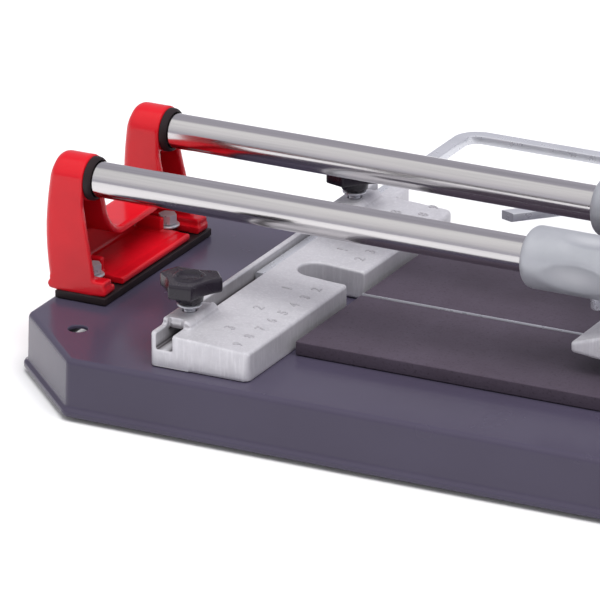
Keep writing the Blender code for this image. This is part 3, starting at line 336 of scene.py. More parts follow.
class Finish:
    """A Principled material whose colour, roughness and relief come from noise in object space."""

    def __init__(self, name, colour, roughness, metallic=0.0, **sockets):
        self.material = bpy.data.materials.new(name)
        self.material.use_nodes = True
        self.nodes = self.material.node_tree.nodes
        self.links = self.material.node_tree.links
        self.shader = self.nodes["Principled BSDF"]
        self.shader.inputs["Base Color"].default_value = (*colour, 1)
        self.shader.inputs["Roughness"].default_value = roughness
        self.shader.inputs["Metallic"].default_value = metallic
        for socket, value in sockets.items():
            self.shader.inputs[socket.replace("_", " ").title().replace("Ior", "IOR")].default_value = value
        self.colour, self.roughness, self.relief = colour, roughness, None
        self.where = self.nodes.new("ShaderNodeTexCoord").outputs["Object"]

    def noise(self, scale, detail=3.0, rough=0.55, stretch=(1, 1, 1), kind="NOISE"):
        """A noise value; scale is in features per metre."""
        mapping = self.nodes.new("ShaderNodeMapping")
        mapping.inputs["Scale"].default_value = stretch
        self.links.new(self.where, mapping.inputs["Vector"])
        if kind == "VORONOI":
            made = self.nodes.new("ShaderNodeTexVoronoi")
            made.inputs["Scale"].default_value = scale
            self.links.new(mapping.outputs[0], made.inputs["Vector"])
            return made.outputs["Distance"]
        made = self.nodes.new("ShaderNodeTexNoise")
        made.inputs["Scale"].default_value = scale
        made.inputs["Detail"].default_value = detail
        made.inputs["Roughness"].default_value = rough
        self.links.new(mapping.outputs[0], made.inputs["Vector"])
        return made.outputs["Fac"]

    def marked(self, name):
        """One of the numbers stored on the mesh's points."""
        made = self.nodes.new("ShaderNodeAttribute")
        made.attribute_name = name
        return made.outputs["Fac"]

    def worn(self, hollow, rim, amount=1.0, depth=0.10):
        """Darkens hollows and brings another colour out along edges."""
        # The hollow colour is painted shade: points with little openness take the darker colour. Edges take
        # the other colour.
        self.tint(self.marked("open"), 0.85, depth, hollow)
        if rim is not None:
            self.tint(self.marked("edge"), 0.25, 0.25 + 0.9 / amount, rim)
        return self

    def spread(self, value, low, high, out_low, out_high):
        """A value carried from one range to another."""
        made = self.nodes.new("ShaderNodeMapRange")
        for socket, number in zip(("From Min", "From Max", "To Min", "To Max"),
                                  (low, high, out_low, out_high)):
            made.inputs[socket].default_value = number
        self.links.new(value, made.inputs["Value"])
        return made.outputs["Result"]

    def tint(self, value, low, high, other):
        """Mixes another colour in as a value rises from low to high."""
        mix = self.nodes.new("ShaderNodeMix")
        mix.data_type = "RGBA"
        self.links.new(self.spread(value, low, high, 0, 1), mix.inputs["Factor"])
        base = self.shader.inputs["Base Color"]
        if base.is_linked:
            self.links.new(base.links[0].from_socket, mix.inputs[6])
        else:
            mix.inputs[6].default_value = (*self.colour, 1)
        mix.inputs[7].default_value = (*other, 1)
        self.links.new(mix.outputs[2], base)
        return self

    def vary(self, value, swing):
        """Lets the roughness wander by a swing either way."""
        low, high = max(self.roughness - swing, 0.02), min(self.roughness + swing, 1)
        self.links.new(self.spread(value, 0.3, 0.7, low, high), self.shader.inputs["Roughness"])
        return self

    def bump(self, value, height, strength=1.0):
        """Relief of a height in millimetres, on top of what is there."""
        made = self.nodes.new("ShaderNodeBump")
        made.inputs["Strength"].default_value = strength
        made.inputs["Distance"].default_value = height / MM
        self.links.new(value, made.inputs["Height"])
        if self.relief is not None:
            self.links.new(self.relief, made.inputs["Normal"])
        self.relief = made.outputs["Normal"]
        self.links.new(self.relief, self.shader.inputs["Normal"])
        return self


def make_finishes():
    """Every finish on the machine, by name."""
    made = {}

    f = Finish("slate_enamel", (0.058, 0.049, 0.079), 0.24, ior=1.34)
    f.tint(f.noise(9, 3), 0.35, 0.7, (0.066, 0.057, 0.092))
    f.vary(f.noise(30, 4), 0.05)
    f.bump(f.noise(260, 2), 0.010)
    made["slate"] = f

    f = Finish("red_enamel", (0.60, 0.006, 0.014), 0.17, ior=1.42)
    f.tint(f.noise(60, 3), 0.4, 0.75, (0.54, 0.005, 0.013))
    f.vary(f.noise(90, 3), 0.04)
    f.bump(f.noise(170, 2), 0.03)
    # painted shade in dark red in hollows, and a lighter red along edges
    f.worn((0.36, 0.004, 0.006), (0.70, 0.016, 0.026), 0.8)
    made["red"] = f

    f = Finish("polished_chrome", (0.64, 0.62, 0.62), 0.17, 1.0)
    f.tint(f.noise(50, 4, stretch=(0.15, 9, 9)), 0.42, 0.75, (0.53, 0.52, 0.52))
    f.vary(f.noise(60, 4, stretch=(0.2, 6, 6)), 0.03)
    f.bump(f.noise(120, 3, stretch=(0.1, 8, 8)), 0.002)
    made["chrome"] = f

    f = Finish("cast_aluminium", (0.60, 0.59, 0.62), 0.40, 0.35)
    f.tint(f.noise(160, 5, 0.75), 0.40, 0.72, (0.53, 0.52, 0.55))
    f.tint(f.noise(900, 2, stretch=(1, 1, 0.12)), 0.50, 0.80, (0.68, 0.67, 0.70))
    f.vary(f.noise(500, 3), 0.07)
    f.bump(f.noise(1600, 2), 0.025)
    f.bump(f.noise(420, 3), 0.03)
    # painted shade in dark grey in hollows, and a lighter grey along edges
    f.worn((0.10, 0.088, 0.096), (0.80, 0.79, 0.81), 1.0, 0.35)
    made["cast"] = f

    f = Finish("blasted_aluminium", (0.43, 0.44, 0.47), 0.42, 0.35)
    f.tint(f.noise(45, 4, 0.6), 0.35, 0.7, (0.36, 0.37, 0.40))
    f.vary(f.noise(300, 3), 0.06)
    f.bump(f.noise(1300, 2), 0.02)
    f.bump(f.noise(220, 2), 0.03)
    # painted shade in dark grey in hollows, and a lighter grey along edges
    f.worn((0.12, 0.12, 0.13), (0.62, 0.63, 0.65), 1.0)
    made["blasted"] = f

    f = Finish("bright_zinc", (0.66, 0.67, 0.71), 0.30, 0.6)
    f.tint(f.noise(40, 2), 0.35, 0.80, (0.57, 0.58, 0.62))
    f.vary(f.noise(220, 3), 0.05)
    f.bump(f.noise(260, 2), 0.003)
    made["zinc"] = f

    f = Finish("black_rubber", (0.016, 0.009, 0.010), 0.55, ior=1.35)
    f.tint(f.noise(120, 4), 0.4, 0.75, (0.020, 0.014, 0.016))
    f.bump(f.noise(900, 2), 0.03)
    made["rubber"] = f

    f = Finish("ribbed_pad", (0.062, 0.047, 0.066), 0.62, ior=1.35)
    f.tint(f.noise(26, 6, 0.75), 0.35, 0.72, (0.080, 0.063, 0.088))
    f.tint(f.noise(900, 2), 0.55, 0.75, (0.045, 0.034, 0.048))
    f.bump(f.noise(1400, 2), 0.05)
    made["pad"] = f

    f = Finish("moulded_black", (0.012, 0.009, 0.015), 0.26, ior=1.45)
    f.tint(f.noise(60, 2), 0.45, 0.8, (0.017, 0.013, 0.020))
    f.vary(f.noise(120, 2), 0.03)
    f.bump(f.noise(500, 2), 0.002)
    made["plastic"] = f

    f = Finish("oiled_bronze", (0.52, 0.33, 0.14), 0.32, 1.0)
    f.tint(f.noise(150, 4), 0.4, 0.7, (0.40, 0.24, 0.10))
    f.bump(f.noise(300, 2, stretch=(8, 1, 1)), 0.01)
    made["bronze"] = f

    f = Finish("ground_carbide", (0.30, 0.31, 0.33), 0.24, 1.0)
    f.tint(f.noise(300, 3), 0.4, 0.7, (0.24, 0.25, 0.27))
    f.vary(f.noise(600, 3), 0.08)
    f.bump(f.noise(900, 2), 0.006)
    made["carbide"] = f
    return {key: value.material for key, value in made.items()}


SKIN = make_finishes()


def refined(nodes, body, skin, edge=0.25, angle=35):
    """A CAD node's own mesh, merged, its edges softened and its rounds shaded smooth."""
    for node in nodes:
        shape = bmesh.new()
        shape.from_mesh(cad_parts[node].data)
        bmesh.ops.remove_doubles(shape, verts=shape.verts, dist=0.00001)
        bmesh.ops.dissolve_limit(shape, angle_limit=math.radians(1), verts=shape.verts, edges=shape.edges)
        mesh = bpy.data.meshes.new(node + "_skin")
        shape.to_mesh(mesh)
        shape.free()
        mesh.shade_smooth()
        mesh.set_sharp_from_angle(angle=math.radians(angle))
        mesh.materials.clear()
        mesh.materials.append(skin)
        mark(mesh, "open", np.ones(len(mesh.vertices)))
        mark(mesh, "edge", np.zeros(len(mesh.vertices)))
        piece = bpy.data.objects.new(node + "_skin", mesh)
        bpy.context.scene.collection.objects.link(piece)
        if edge:
            bevel = piece.modifiers.new("soft_edges", "BEVEL")
            bevel.width = edge / MM
            bevel.segments = 2
            bevel.limit_method = "ANGLE"
            bevel.angle_limit = math.radians(50)
            bevel.harden_normals = True
        dress(piece, body, [node])


# ------------------------------------------------------------------------------------- the base


def tray_rings(profile):
    """The tray's skin: for each (inset, height) of the profile, its plan moved in by the inset. The plan
    is a rectangle with 45 degree corners, every bend an arc whose radius shrinks with the inset."""
    rings = []
    for inset, height in profile:
        a, b = END - inset, HALF_WIDTH - inset
        leg = 42.0 - inset * (2 - math.sqrt(2))
        corners = [(a, -b + leg), (a, b - leg), (a - leg, b), (-a + leg, b), (-a, b - leg), (-a, -b + leg),
                   (-a + leg, -b), (a - leg, -b)]
        plan = rounded(corners, max(7.0 - inset, 1.5), 7)
        rings.append(np.column_stack([plan, np.full(len(plan), height)]))
    return np.array(rings)


def base_tray():
    """A pressed sheet: rolled rim, stepped foot, upright wall, rounded shoulder and a flat top with four
    holes."""
    rim = [(1.9, 0.9), (1.5, 0.25), (0.8, 0.0), (0.25, 0.25), (0.0, 0.9), (0.0, 2.3), (0.35, 2.95),
           (1.1, 3.25),
           (1.55, 3.7), (1.75, 4.6)]
    wall = [(1.75 + 0.5 * t, 4.6 + (TOP - 2 - 2.6 - 4.6) * t) for t in np.linspace(0.15, 1, 6)]
    shoulder = [(2.25 + 2.6 * (1 - math.cos(t)), TOP - 2 - 2.6 + 2.6 * math.sin(t))
                for t in np.linspace(0, np.pi / 2, 9)[1:]]
    outer = rim + wall + shoulder
    inner = [(i + 1.5, max(h - 1.5 * math.sin(t), 0.9)) for (i, h), t in
             zip(shoulder[::-1], np.linspace(np.pi / 2, 0, 8))]
    inner = [(max(i, 3.75), h) for i, h in inner] + [(3.6, 8.0), (3.3, 3.0), (1.95, 1.1)]
    rings = tray_rings([(i, h + 2) for i, h in outer + inner])
    size = rings.shape[1]
    verts, faces = skin_rings(rings, closed=True)
    top, under = len(outer) - 1, len(outer)
    # the shoulder's last ring and the first inner ring bound the flat top: no quads between, a cap on both
    faces = [f for f in faces if not (min(f) >= top * size and max(f) < (under + 1) * size
                                      and min(f) < under * size <= max(f))]
    faces.append(list(range(top * size, top * size + size)))
    faces.append(list(range(under * size, under * size + size))[::-1])
    tray = put("base_tray_skin", verts, faces, "base", "tray_paint", SKIN["slate"], ["base_tray"], 50,
               keep=True)
    bores = []
    for sx in (-1, 1):
        for sy in (-1, 1):
            mouth = BENCH_HOLE_R + 0.4
            profile = [(0.001, TOP + 3), (mouth, TOP + 3), (mouth, TOP + 0.02),
                       (BENCH_HOLE_R + 0.1, TOP - 0.25),
                       (BENCH_HOLE_R, TOP - 0.6), (BENCH_HOLE_R, TOP - 3), (0.001, TOP - 3)]
            centre = (sx * (END - BENCH_HOLE_INSET), sy * BENCH_HOLE_OUT, 0)
            bores.append(lathe(profile[::-1], centre, count=48))
    verts = np.concatenate([v for v, _ in bores])
    size = len(bores[0][0])
    faces = [[i + k * size for i in f] for k, (_, fs) in enumerate(bores) for f in fs]
    cutter = put("hole_cutter", verts, faces, "base", "tray_paint", SKIN["slate"], [], 50, keep=True)
    cut = tray.modifiers.new("holes", "BOOLEAN")
    cut.operation = "DIFFERENCE"
    cut.object = cutter
    cut.solver = "EXACT"
    bake(tray, [cutter])
    dress(tray, "base", ["base_tray"])


def bake(piece, helpers=()):
    """Applies a piece's modifiers and removes the helpers they used."""
    bpy.context.view_layer.update()
    mesh = bpy.data.meshes.new_from_object(piece.evaluated_get(bpy.context.evaluated_depsgraph_get()))
    mesh.name = piece.name
    piece.modifiers.clear()
    piece.data = mesh
    mesh.shade_smooth()
    mesh.set_sharp_from_angle(angle=math.radians(40))
    for helper in helpers:
        bpy.data.objects.remove(helper)


def bed():
    """Two pads with softened edges and a bright ridge with a rounded crown between them."""
    for row in ROWS:
        low, high = span(f"{row}_pad")
        low[1] -= LINE
        high[1] -= LINE
        put(f"{row}_pad_skin", *round_block(low, high, 0.45), "base", "pad_rubber", SKIN["pad"],
            [f"{row}_pad"])
    low, high = RIDGE
    half = (high[1] - low[1]) / 2
    blade = 0.2
    section = [(-half, low[2]), (half, low[2]), (half, high[2] - 1.5), (blade, high[2] - 1.3),
               (blade * 0.7, high[2]), (-blade * 0.7, high[2]), (-blade, high[2] - 1.3),
               (-half, high[2] - 1.5)]
    section = rounded(section, 0.04, 2)
    xs = np.array([low[0], low[0] + 0.2, high[0] - 0.2, high[0]])
    shrink = np.array([0.85, 1, 1, 0.85])
    rings = np.zeros((4, len(section), 3))
    rings[..., 0] = xs[:, None]
    rings[..., 1] = section[:, 0] * shrink[:, None]
    rings[..., 2] = section[:, 1]
    put("breaking_ridge_skin", *skin_rings(rings), "base", "zinc", SKIN["zinc"], ["breaking_ridge"])


def feet():
    """Rubber feet, turned: a waist, a rounded sole and a hollow in it."""
    for side in SIDES:
        for row in ROWS:
            node = f"foot_{side}_{row}"
            low, high = span(node)
            centre = ((low[0] + high[0]) / 2, (low[1] + high[1]) / 2 - LINE, 0)
            top, r = high[2], (high[0] - low[0]) / 2
            profile = [(0.01, top), (r - 0.6, top), (r, top - 0.6), (r - 0.9, top * 0.5), (r - 1.2, 2.4),
                       (r - 1.5, 0.8), (r - 2.4, 0.0), (r / 2, 0.0), (r / 2 - 0.8, 0.6),
                       (r / 2 - 1.2, 3), (0.01, 3)]
            put(node + "_skin", *lathe(profile[::-1], centre), "base", "rubber", SKIN["rubber"], [node])


# ------------------------------------------------------------------------------------- brackets

BRACKET_LOW = TOP + 3.8
FOOT_TOP = BRACKET_LOW + 3.0


def bracket_field(x, y, z):
    """The left bracket; x counts from the tray's end. Its outline across the rails is two towers with
    round heads and a saddle filleted between them, cut to a bulging back and a leaning front, then
    hollowed from the front."""
    w = np.abs(y)
    round_head = np.hypot(w - RAIL_Y, z - RAIL_Z)
    lean = (46.4 - 43.5) / (RAIL_Z - BRACKET_LOW)
    outer_line = (w - (43.5 + lean * (RAIL_Z - z))) / math.hypot(1, lean)
    tower = np.where(z > RAIL_Z, round_head - 10.0, np.maximum(outer_line, 23.5 - w))
    saddle = np.maximum(z - (TOP + 23.5), w - RAIL_Y)
    outline = np.maximum(either(tower, saddle, 10.0), BRACKET_LOW - z)
    rise = np.clip((z - BRACKET_LOW) / (RAIL_Z + 6 - BRACKET_LOW), 0, 1)
    back = 0.9 * (1 - rise) ** 4 - x - 2.2 * np.sin(np.pi * rise)
    front_reach = 15.7 + 7.2 * np.clip((RAIL_Z - 10 - z) / (RAIL_Z - 10 - BRACKET_LOW), 0, 1)
    front = (x - front_reach) * 0.99
    solid = both(both(outline, back, 4.6), front, 0.8)
    boss = 9.9 - round_head
    inner = both(both(outline + 3.0, boss, 1.0), FOOT_TOP - 1 - z, 1.0)
    pocket = both(inner, 3.2 - x, 2.0)
    solid = less(solid, pocket, 0.6)
    foot = block(x, w, z, (0.6, -60, BRACKET_LOW), (27.8, 60, FOOT_TOP), 0.9)
    for low, high in (((1.5, 25.3, BRACKET_LOW), (16.5, 27.9, FOOT_TOP + 6.2)),
                      ((1.5, 39.1, BRACKET_LOW), (27.3, 60, BRACKET_LOW + 5.8))):
        foot = either(foot, block(x, w, z, low, high, 0.7), 0.7)
    foot = both(foot, np.maximum(outer_line, back), 0.7)
    solid = either(solid, foot, 0.8)
    solid = both(solid, np.maximum(outer_line, back) + 0.05, 0.3)
    slot = np.where(x < BOLT_X, np.hypot(x - BOLT_X, w - RAIL_Y), np.abs(w - RAIL_Y)) - 3.8
    solid = less(solid, np.maximum(slot, z - FOOT_TOP - 6), 0.5)
    spigot = np.hypot(w - RAIL_Y, z - RAIL_Z)
    solid = less(solid, both(spigot - 7.8, 5.0 - x), 0.4)
    solid = less(solid, both(spigot - 5.3, x - 2.9), 0.4)
    return less(solid, both(spigot - 3.3, x - 12.0), 0.4)


def brackets():
    low, high = (-3.0, -47.5, BRACKET_LOW), (29.0, 47.5, RAIL_Z + 11)
    points, quads, marks = nets(bracket_field, low, high, 0.8)
    for side, sx in SIDES.items():
        turned = points * (-sx, 1, 1) + (sx * END, 0, 0)
        name = f"{side}_rail_bracket"
        put(name + "_skin", turned, quads if sx < 0 else quads[:, ::-1], "base", "red_paint",
            SKIN["red"], [name], 60,
            marks=marks)


def gaskets():
    """Cut sheet gaskets that show round each bracket's foot."""
    for side in SIDES:
        name = f"{side}_gasket"
        low, high = span(name)
        low[1] -= LINE
        high[1] -= LINE
        put(name + "_skin", *round_block(low, high, 0.5), "base", "rubber", SKIN["rubber"], [name])


def rails():
    """Chromed bars with turned ends."""
    low, high = RAIL[0][0], RAIL[1][0]
    r = RAIL_R
    profile = [(3.4, low + 14), (3.4, low), (r - 0.7, low), (r, low + 0.7)]
    profile += [(r, x) for x in np.linspace(low + 1, high - 1, 9)]
    profile += [(r, high - 0.7), (r - 0.7, high), (3.4, high), (3.4, high - 14)]
    for row, sy in ROWS.items():
        centre = (0, sy * RAIL_Y, RAIL_Z)
        put(f"{row}_rail_skin", *lathe(profile, centre, "x", 96), "base", "chrome", SKIN["chrome"],
            [f"{row}_rail"])


def collars():
    """Rubber rings with a rounded lip against each bracket's mouth."""
    for side, sx in SIDES.items():
        for row, sy in ROWS.items():
            node = f"collar_{side}_{row}"
            low, high = span(node)
            near = low[0] if sx < 0 else high[0]
            step = -sx
            profile = [(7.8, near), (9.35, near), (9.35, near + step * 1.0), (9.2, near + step * 1.9),
                       (8.8, near + step * 2.6), (8.2, near + step * 3.0), (7.8, near + step * 2.8)]
            if sx > 0:
                profile = profile[::-1]
            put(node + "_skin", *lathe(profile, (0, sy * RAIL_Y, RAIL_Z), "x", 72, closed=True), "base",
                "rubber",
                SKIN["rubber"], [node])


# ---------------------------------------------------------------------------- fence, knobs, stop bar

CHANNEL_X = FENCE_X + 6.0
CHANNEL_Z = TOP + 7.7


def fence_top(x):
    """The sloping top's height at a distance from the fence's left side."""
    return TOP + 15.0 - 2.4 * x / 44.3


def fence_field(x, y, z):
    """The scale fence, x from its left side: a bar under a sloping plane with a long channel, a slot for
    the wheel with a round closed end, a step at its rear and two clamp bosses with a well round each
    stud."""
    plan = both(np.abs(y + 2.8) - 94.6, x - 44.3, 3.2)
    plan = both(plan, -x, 1.5)
    tail = both(np.maximum(np.abs(y - 3.8) - 101.2, x - 17.0), -x, 1.5)
    plan = either(plan, tail, 1.0)
    top = (z - fence_top(x)) * 0.9985
    solid = np.maximum(both(plan, top, 1.3), TOP + GAP - z)
    for sy in (-1, 1):
        boss = block(x, y, z, (0.2, sy * 75 - 12.6, TOP + 9), (12.8, sy * 75 + 12.6, TOP + 17.8), 1.0)
        boss = both(boss, (x - 12.8 + z - TOP - 17.8) / math.sqrt(2) + 1.3, 0.5)
        solid = either(solid, boss, 1.4)
    bridge = np.abs(np.abs(y) - 75.0) - 11.0
    channel = block(x, y, z, (2.3, -200, CHANNEL_Z), (9.7, 200, TOP + 60), 0.5)
    roof = np.where(bridge < 0, z - (TOP + 13.4), -1e3)
    solid = less(solid, np.maximum(channel, roof), 0.5)
    well = np.hypot(x - 6.0, np.abs(y) - 75.0)
    solid = less(solid, np.maximum(well - 3.0, TOP + 8 - z), 0.4)
    slot = np.where(x < 26.2, np.hypot(x - 26.2, y), np.abs(y)) - 8.0
    return less(solid, slot, 0.9)


def number_marks():
    """Where the scales' numbers stand: text, distance from the left side, y and size. Centimetres and
    inches."""
    marks = [(str(cm), 36.2, sy * 10.0 * cm, 6.2) for sy in (-1, 1) for cm in range(2, 10)]
    return marks + [(str(inch), 25.4, sy * 25.4 * inch, 6.6) for sy in (-1, 1) for inch in (1, 2, 3)]


def numbers():
    """The raised numbers: each a built-in font's digit, thickened with rounded edges, turned to read
    from the front end to the rear and laid on the sloping top."""
    slope = math.atan2(2.4, 44.3)
    shape = bmesh.new()
    for text, across, along, size in number_marks():
        drawn = bpy.data.curves.new("digit", "FONT")
        drawn.body = text
        drawn.size = size / MM
        drawn.extrude = 0.24 / MM
        drawn.bevel_depth = 0.12 / MM
        drawn.bevel_resolution = 1
        drawn.offset = -0.05 / MM
        drawn.align_x, drawn.align_y = "CENTER", "CENTER"
        holder = bpy.data.objects.new("digit", drawn)
        bpy.context.scene.collection.objects.link(holder)
        bpy.context.view_layer.update()
        mesh = bpy.data.meshes.new_from_object(holder.evaluated_get(bpy.context.evaluated_depsgraph_get()))
        bpy.data.objects.remove(holder)
        spot = Vector((FENCE_X + across, along + LINE, fence_top(across))) / MM
        lean = Matrix.Rotation(slope, 4, "Y")
        quarter = Matrix.Rotation(math.pi / 2, 4, "Z")
        mesh.transform(Matrix.Translation(spot) @ lean @ quarter)
        shape.from_mesh(mesh)
        bpy.data.meshes.remove(mesh)
    bmesh.ops.remove_doubles(shape, verts=shape.verts, dist=0.000002)
    bmesh.ops.dissolve_degenerate(shape, edges=shape.edges, dist=0.000002)
    bmesh.ops.recalc_face_normals(shape, faces=shape.faces)
    mesh = bpy.data.meshes.new("fence_numbers")
    shape.to_mesh(mesh)
    shape.free()
    mesh.materials.append(SKIN["cast"])
    # A fixed openness of 0.74 gives the numbers a share of the cast finish's painted hollow shade, so they
    # stand darker than the fence.
    mark(mesh, "open", np.full(len(mesh.vertices), 0.74))
    mark(mesh, "edge", np.zeros(len(mesh.vertices)))
    piece = bpy.data.objects.new("fence_numbers", mesh)
    bpy.context.scene.collection.objects.link(piece)
    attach(piece, "base")


def scale_fence():
    points, quads, marks = nets(fence_field, (0, -97.4, TOP), (44.3, 105.0, TOP + 18), 0.7)
    put("scale_fence_skin", points + (FENCE_X, 0, 0), quads, "base", "cast_aluminium", SKIN["cast"],
        ["scale_fence"], 60, marks=marks)
    numbers()


def knob_rings(turn, bottom, top):
    """A three-lobed knob: rings of a profile (share of the plan's radius, height), each ring blending
    from the lobed plan to a circle near the axis. The plan swells three times round: wide flat lobe ends
    and hollow flanks."""
    count = 144
    angle = np.linspace(0, 2 * np.pi, count, endpoint=False)
    away = (angle - turn + np.pi / 3) % (2 * np.pi / 3) - np.pi / 3
    end = 13.0 / np.cos(away)
    side = np.pi / 3 - np.abs(away)
    reach, ball = 38.3, 28.8
    flank = reach * np.cos(side) - np.sqrt(np.maximum(ball**2 - (reach * np.sin(side)) ** 2, 0))
    lobe = (end**-24.0 + flank**-24.0) ** (-1 / 24.0)
    profile = [(0.05, bottom - 4.7, 1), (5.0, bottom - 4.7, 1), (5.6, bottom - 4.3, 1),
               (5.9, bottom - 2.5, 1),
               (6.3, bottom - 0.4, 1), (6.6, bottom - 0.1, 0.9)]
    profile += [(0.94, bottom, 0), (0.975, bottom + 0.15, 0), (0.993, bottom + 0.5, 0),
                (1.0, bottom + 1.0, 0),
                (1.0, top - 1.3, 0), (0.99, top - 0.6, 0), (0.965, top - 0.18, 0), (0.93, top, 0),
                (0.85, top, 0)]
    profile += [(7.1, top, 1), (6.8, top + 0.05, 1), (6.5, top + 0.5, 1), (5.9, top + 0.75, 1),
                (5.3, top + 0.5, 1),
                (5.0, top - 0.3, 1), (4.7, top - 0.6, 1), (0.05, top - 0.6, 1)]
    rings = np.zeros((len(profile), count, 3))
    for i, (reach, height, kind) in enumerate(profile):
        radius = reach if kind == 1 else (reach * lobe if kind == 0 else 0.1 * lobe * 0.9 + 0.9 * reach)
        rings[i, :, 0] = radius * np.cos(angle)
        rings[i, :, 1] = radius * np.sin(angle)
        rings[i, :, 2] = height
    return rings


def clamps():
    """Knobs, studs and washers of both clamps."""
    for row, turn in (("front", math.radians(-81)), ("rear", math.radians(15))):
        node = f"{row}_clamp_knob"
        low, high = span(node)
        y = ROWS[row] * 75.0
        bottom, top = high[2] - 6.8, high[2] - 0.75
        rings = knob_rings(turn, bottom, top) + (CHANNEL_X, y, 0)
        put(node + "_skin", *skin_rings(rings), f"{row}_clamp", "black_plastic", SKIN["plastic"], [node], 50)
        low, high = span(f"{row}_clamp_stud")
        top = high[2] - 3
        profile = [(0.01, low[2]), (2.1, low[2]), (2.5, low[2] + 0.4)]
        for z in np.arange(low[2] + 0.6, top - 4, 0.8):
            profile += [(2.5, z), (2.22, z + 0.4)]
        profile += [(2.5, top - 3), (2.5, top), (0.01, top)]
        put(f"{row}_clamp_stud_skin", *lathe(profile, (CHANNEL_X, y, 0), count=40), f"{row}_clamp", "zinc",
            SKIN["zinc"], [f"{row}_clamp_stud"], 60)
        washer(f"{row}_clamp_washer", (CHANNEL_X, y), f"{row}_clamp", 2.8)


def washer(node, centre, body, hole):
    """A flat washer with rolled edges."""
    low, high = span(node)
    r = (high[0] - low[0]) / 2
    a, b = low[2], high[2]
    profile = [(hole, a), (r - 0.3, a), (r, a + 0.3), (r, b - 0.3), (r - 0.3, b), (hole, b)]
    put(node + "_skin", *lathe(profile, (*centre, 0), count=48, closed=True), body, "zinc", SKIN["zinc"],
        [node])


def stop_bar():
    """A flat bar's rounded section carried along its bent route: straight, an arc, straight, an arc, and
    a last leg that ends in a cut along x."""
    low, high = span("stop_bar")
    half, bend = 3.0, 8.5
    back = high[1] - LINE - half
    front = low[1] - LINE
    corner = -END + 222.0
    lean = math.radians(46)
    tip_y = 101.0
    tip = np.array([corner, back]) - np.array([math.cos(lean),
                                               math.sin(lean)]) * (back - tip_y) / math.sin(lean)
    route = rounded([(CHANNEL_X, front, 0), (CHANNEL_X, back, bend), (corner, back, bend), (*tip, 0)], 0, 14)
    way = np.gradient(route, axis=0)
    way[0], way[-1] = route[1] - route[0], route[-1] - route[-2]
    way /= np.linalg.norm(way, axis=1)[:, None]
    side = np.column_stack([way[:, 1], -way[:, 0]])
    section = rounded([(-half, low[2]), (half, low[2]), (half, high[2]), (-half, high[2])], 0.55, 3)
    rings = np.zeros((len(route), len(section), 3))
    rings[..., :2] = route[:, None] + side[:, None] * section[None, :, :1]
    rings[..., 2] = section[:, 1]
    last = rings[-1]
    shift = np.minimum((tip_y - last[:, 1]) / way[-1, 1], 0)
    last[:, :2] += shift[:, None] * way[-1]
    verts, faces = skin_rings(rings)
    put("stop_bar_skin", verts, [f[::-1] for f in faces], "measuring_stop", "zinc", SKIN["zinc"],
        ["stop_bar"], 40)


# ------------------------------------------------------------------------------------- carriage


def carriage_field(x, y, z):
    """The carriage, x from the sleeves' left end: two sleeves with rounded left ends and two ground
    flats each, a bridge with a window, and ears round the pivot."""
    w = np.abs(y)
    out, up = w - RAIL_Y, z - RAIL_Z
    away = np.hypot(out, up)
    shell = away - 13.0
    # one flat faces out and one up, each deepest halfway along
    for lean, middle in ((math.radians(-10), 26.0), (math.radians(84), 29.0)):
        depth = 1.8 - 1.8 * ((x - middle) / 16.0) ** 2
        shell = both(shell, (out * math.cos(lean) + up * math.sin(lean) - 13.0 + depth) * 0.97, 0.35)
    sleeve = both(both(shell, x - 96.0, 1.2), 0.2 - x, 4.4)
    low, high = RAIL_Z - 6.0, RAIL_Z + 8.5
    bridge = block(x, w, z, (28.0, -50, low), (92.0, RAIL_Y - 4, high), 2.2)
    solid = either(sleeve, bridge, 3.0)
    px, pz = PIVOT[0] - SLEEVE_X, PIVOT[1]
    ear = np.hypot(x - px, z - pz) - 12.0
    skirt = np.maximum(np.abs(x - px) - 12.0 - np.maximum(pz - z, 0) * 0.35, np.maximum(z - pz, low + 3 - z))
    ear = both(np.minimum(ear, skirt), np.abs(w - 11.6) - 3.0, 1.2)
    solid = either(solid, ear, 2.5)
    window = block(x, w, z, (31.5, -50, low - 9), (84.5, 8.6, high + 60), 1.2)
    solid = less(solid, window, 0.8)
    solid = less(solid, np.hypot(x - px, z - pz) - 4.3, 0.5)
    bore = np.where(x < 3.2, away - 7.8, away - 10.3)
    solid = less(solid, bore, 0.5)
    return less(solid, np.maximum(np.hypot(x - SCREW_X, out) - 3.3, z - RAIL_Z), 0.3)


def carriage():
    points, quads, marks = nets(carriage_field, (0, -46.5, RAIL_Z - 13), (96, 46.5, PIVOT[1] + 12), 0.85)
    put("carriage_body_skin", points + (SLEEVE_X, 0, 0), quads, "carriage", "cast_aluminium",
        SKIN["blasted"],
        ["carriage_body"], 60, marks=marks)
    for row, sy in ROWS.items():
        node = f"sleeve_liner_{row}"
        low, high = span(node)
        a, b = low[0], high[0]
        profile = [(7.8, a), (9.7, a), (10.0, a + 0.3), (10.0, b - 0.3), (9.7, b), (7.8, b)]
        put(node + "_skin", *lathe(profile, (0, sy * RAIL_Y, RAIL_Z), "x", 72, closed=True), "carriage",
            "bronze",
            SKIN["bronze"], [node])
        node = f"sleeve_screw_{row}"
        low, high = span(node)
        a, b = low[2], high[2]
        centre = ((low[0] + high[0]) / 2, sy * RAIL_Y, 0)
        profile = [(0.01, b), (3, b), (3, a + 0.7), (2.7, a + 0.2), (2.3, a), (1.5, a), (1.3, a + 1.4),
                   (0.01, a + 1.4)]
        put(node + "_skin", *lathe(profile[::-1], centre, count=40), "carriage", "zinc", SKIN["zinc"],
            [node])


# ------------------------------------------------------------------------------------- lever, wheel, breaker

ALONG = np.array([math.cos(HANDLE_ANGLE), math.sin(HANDLE_ANGLE)])


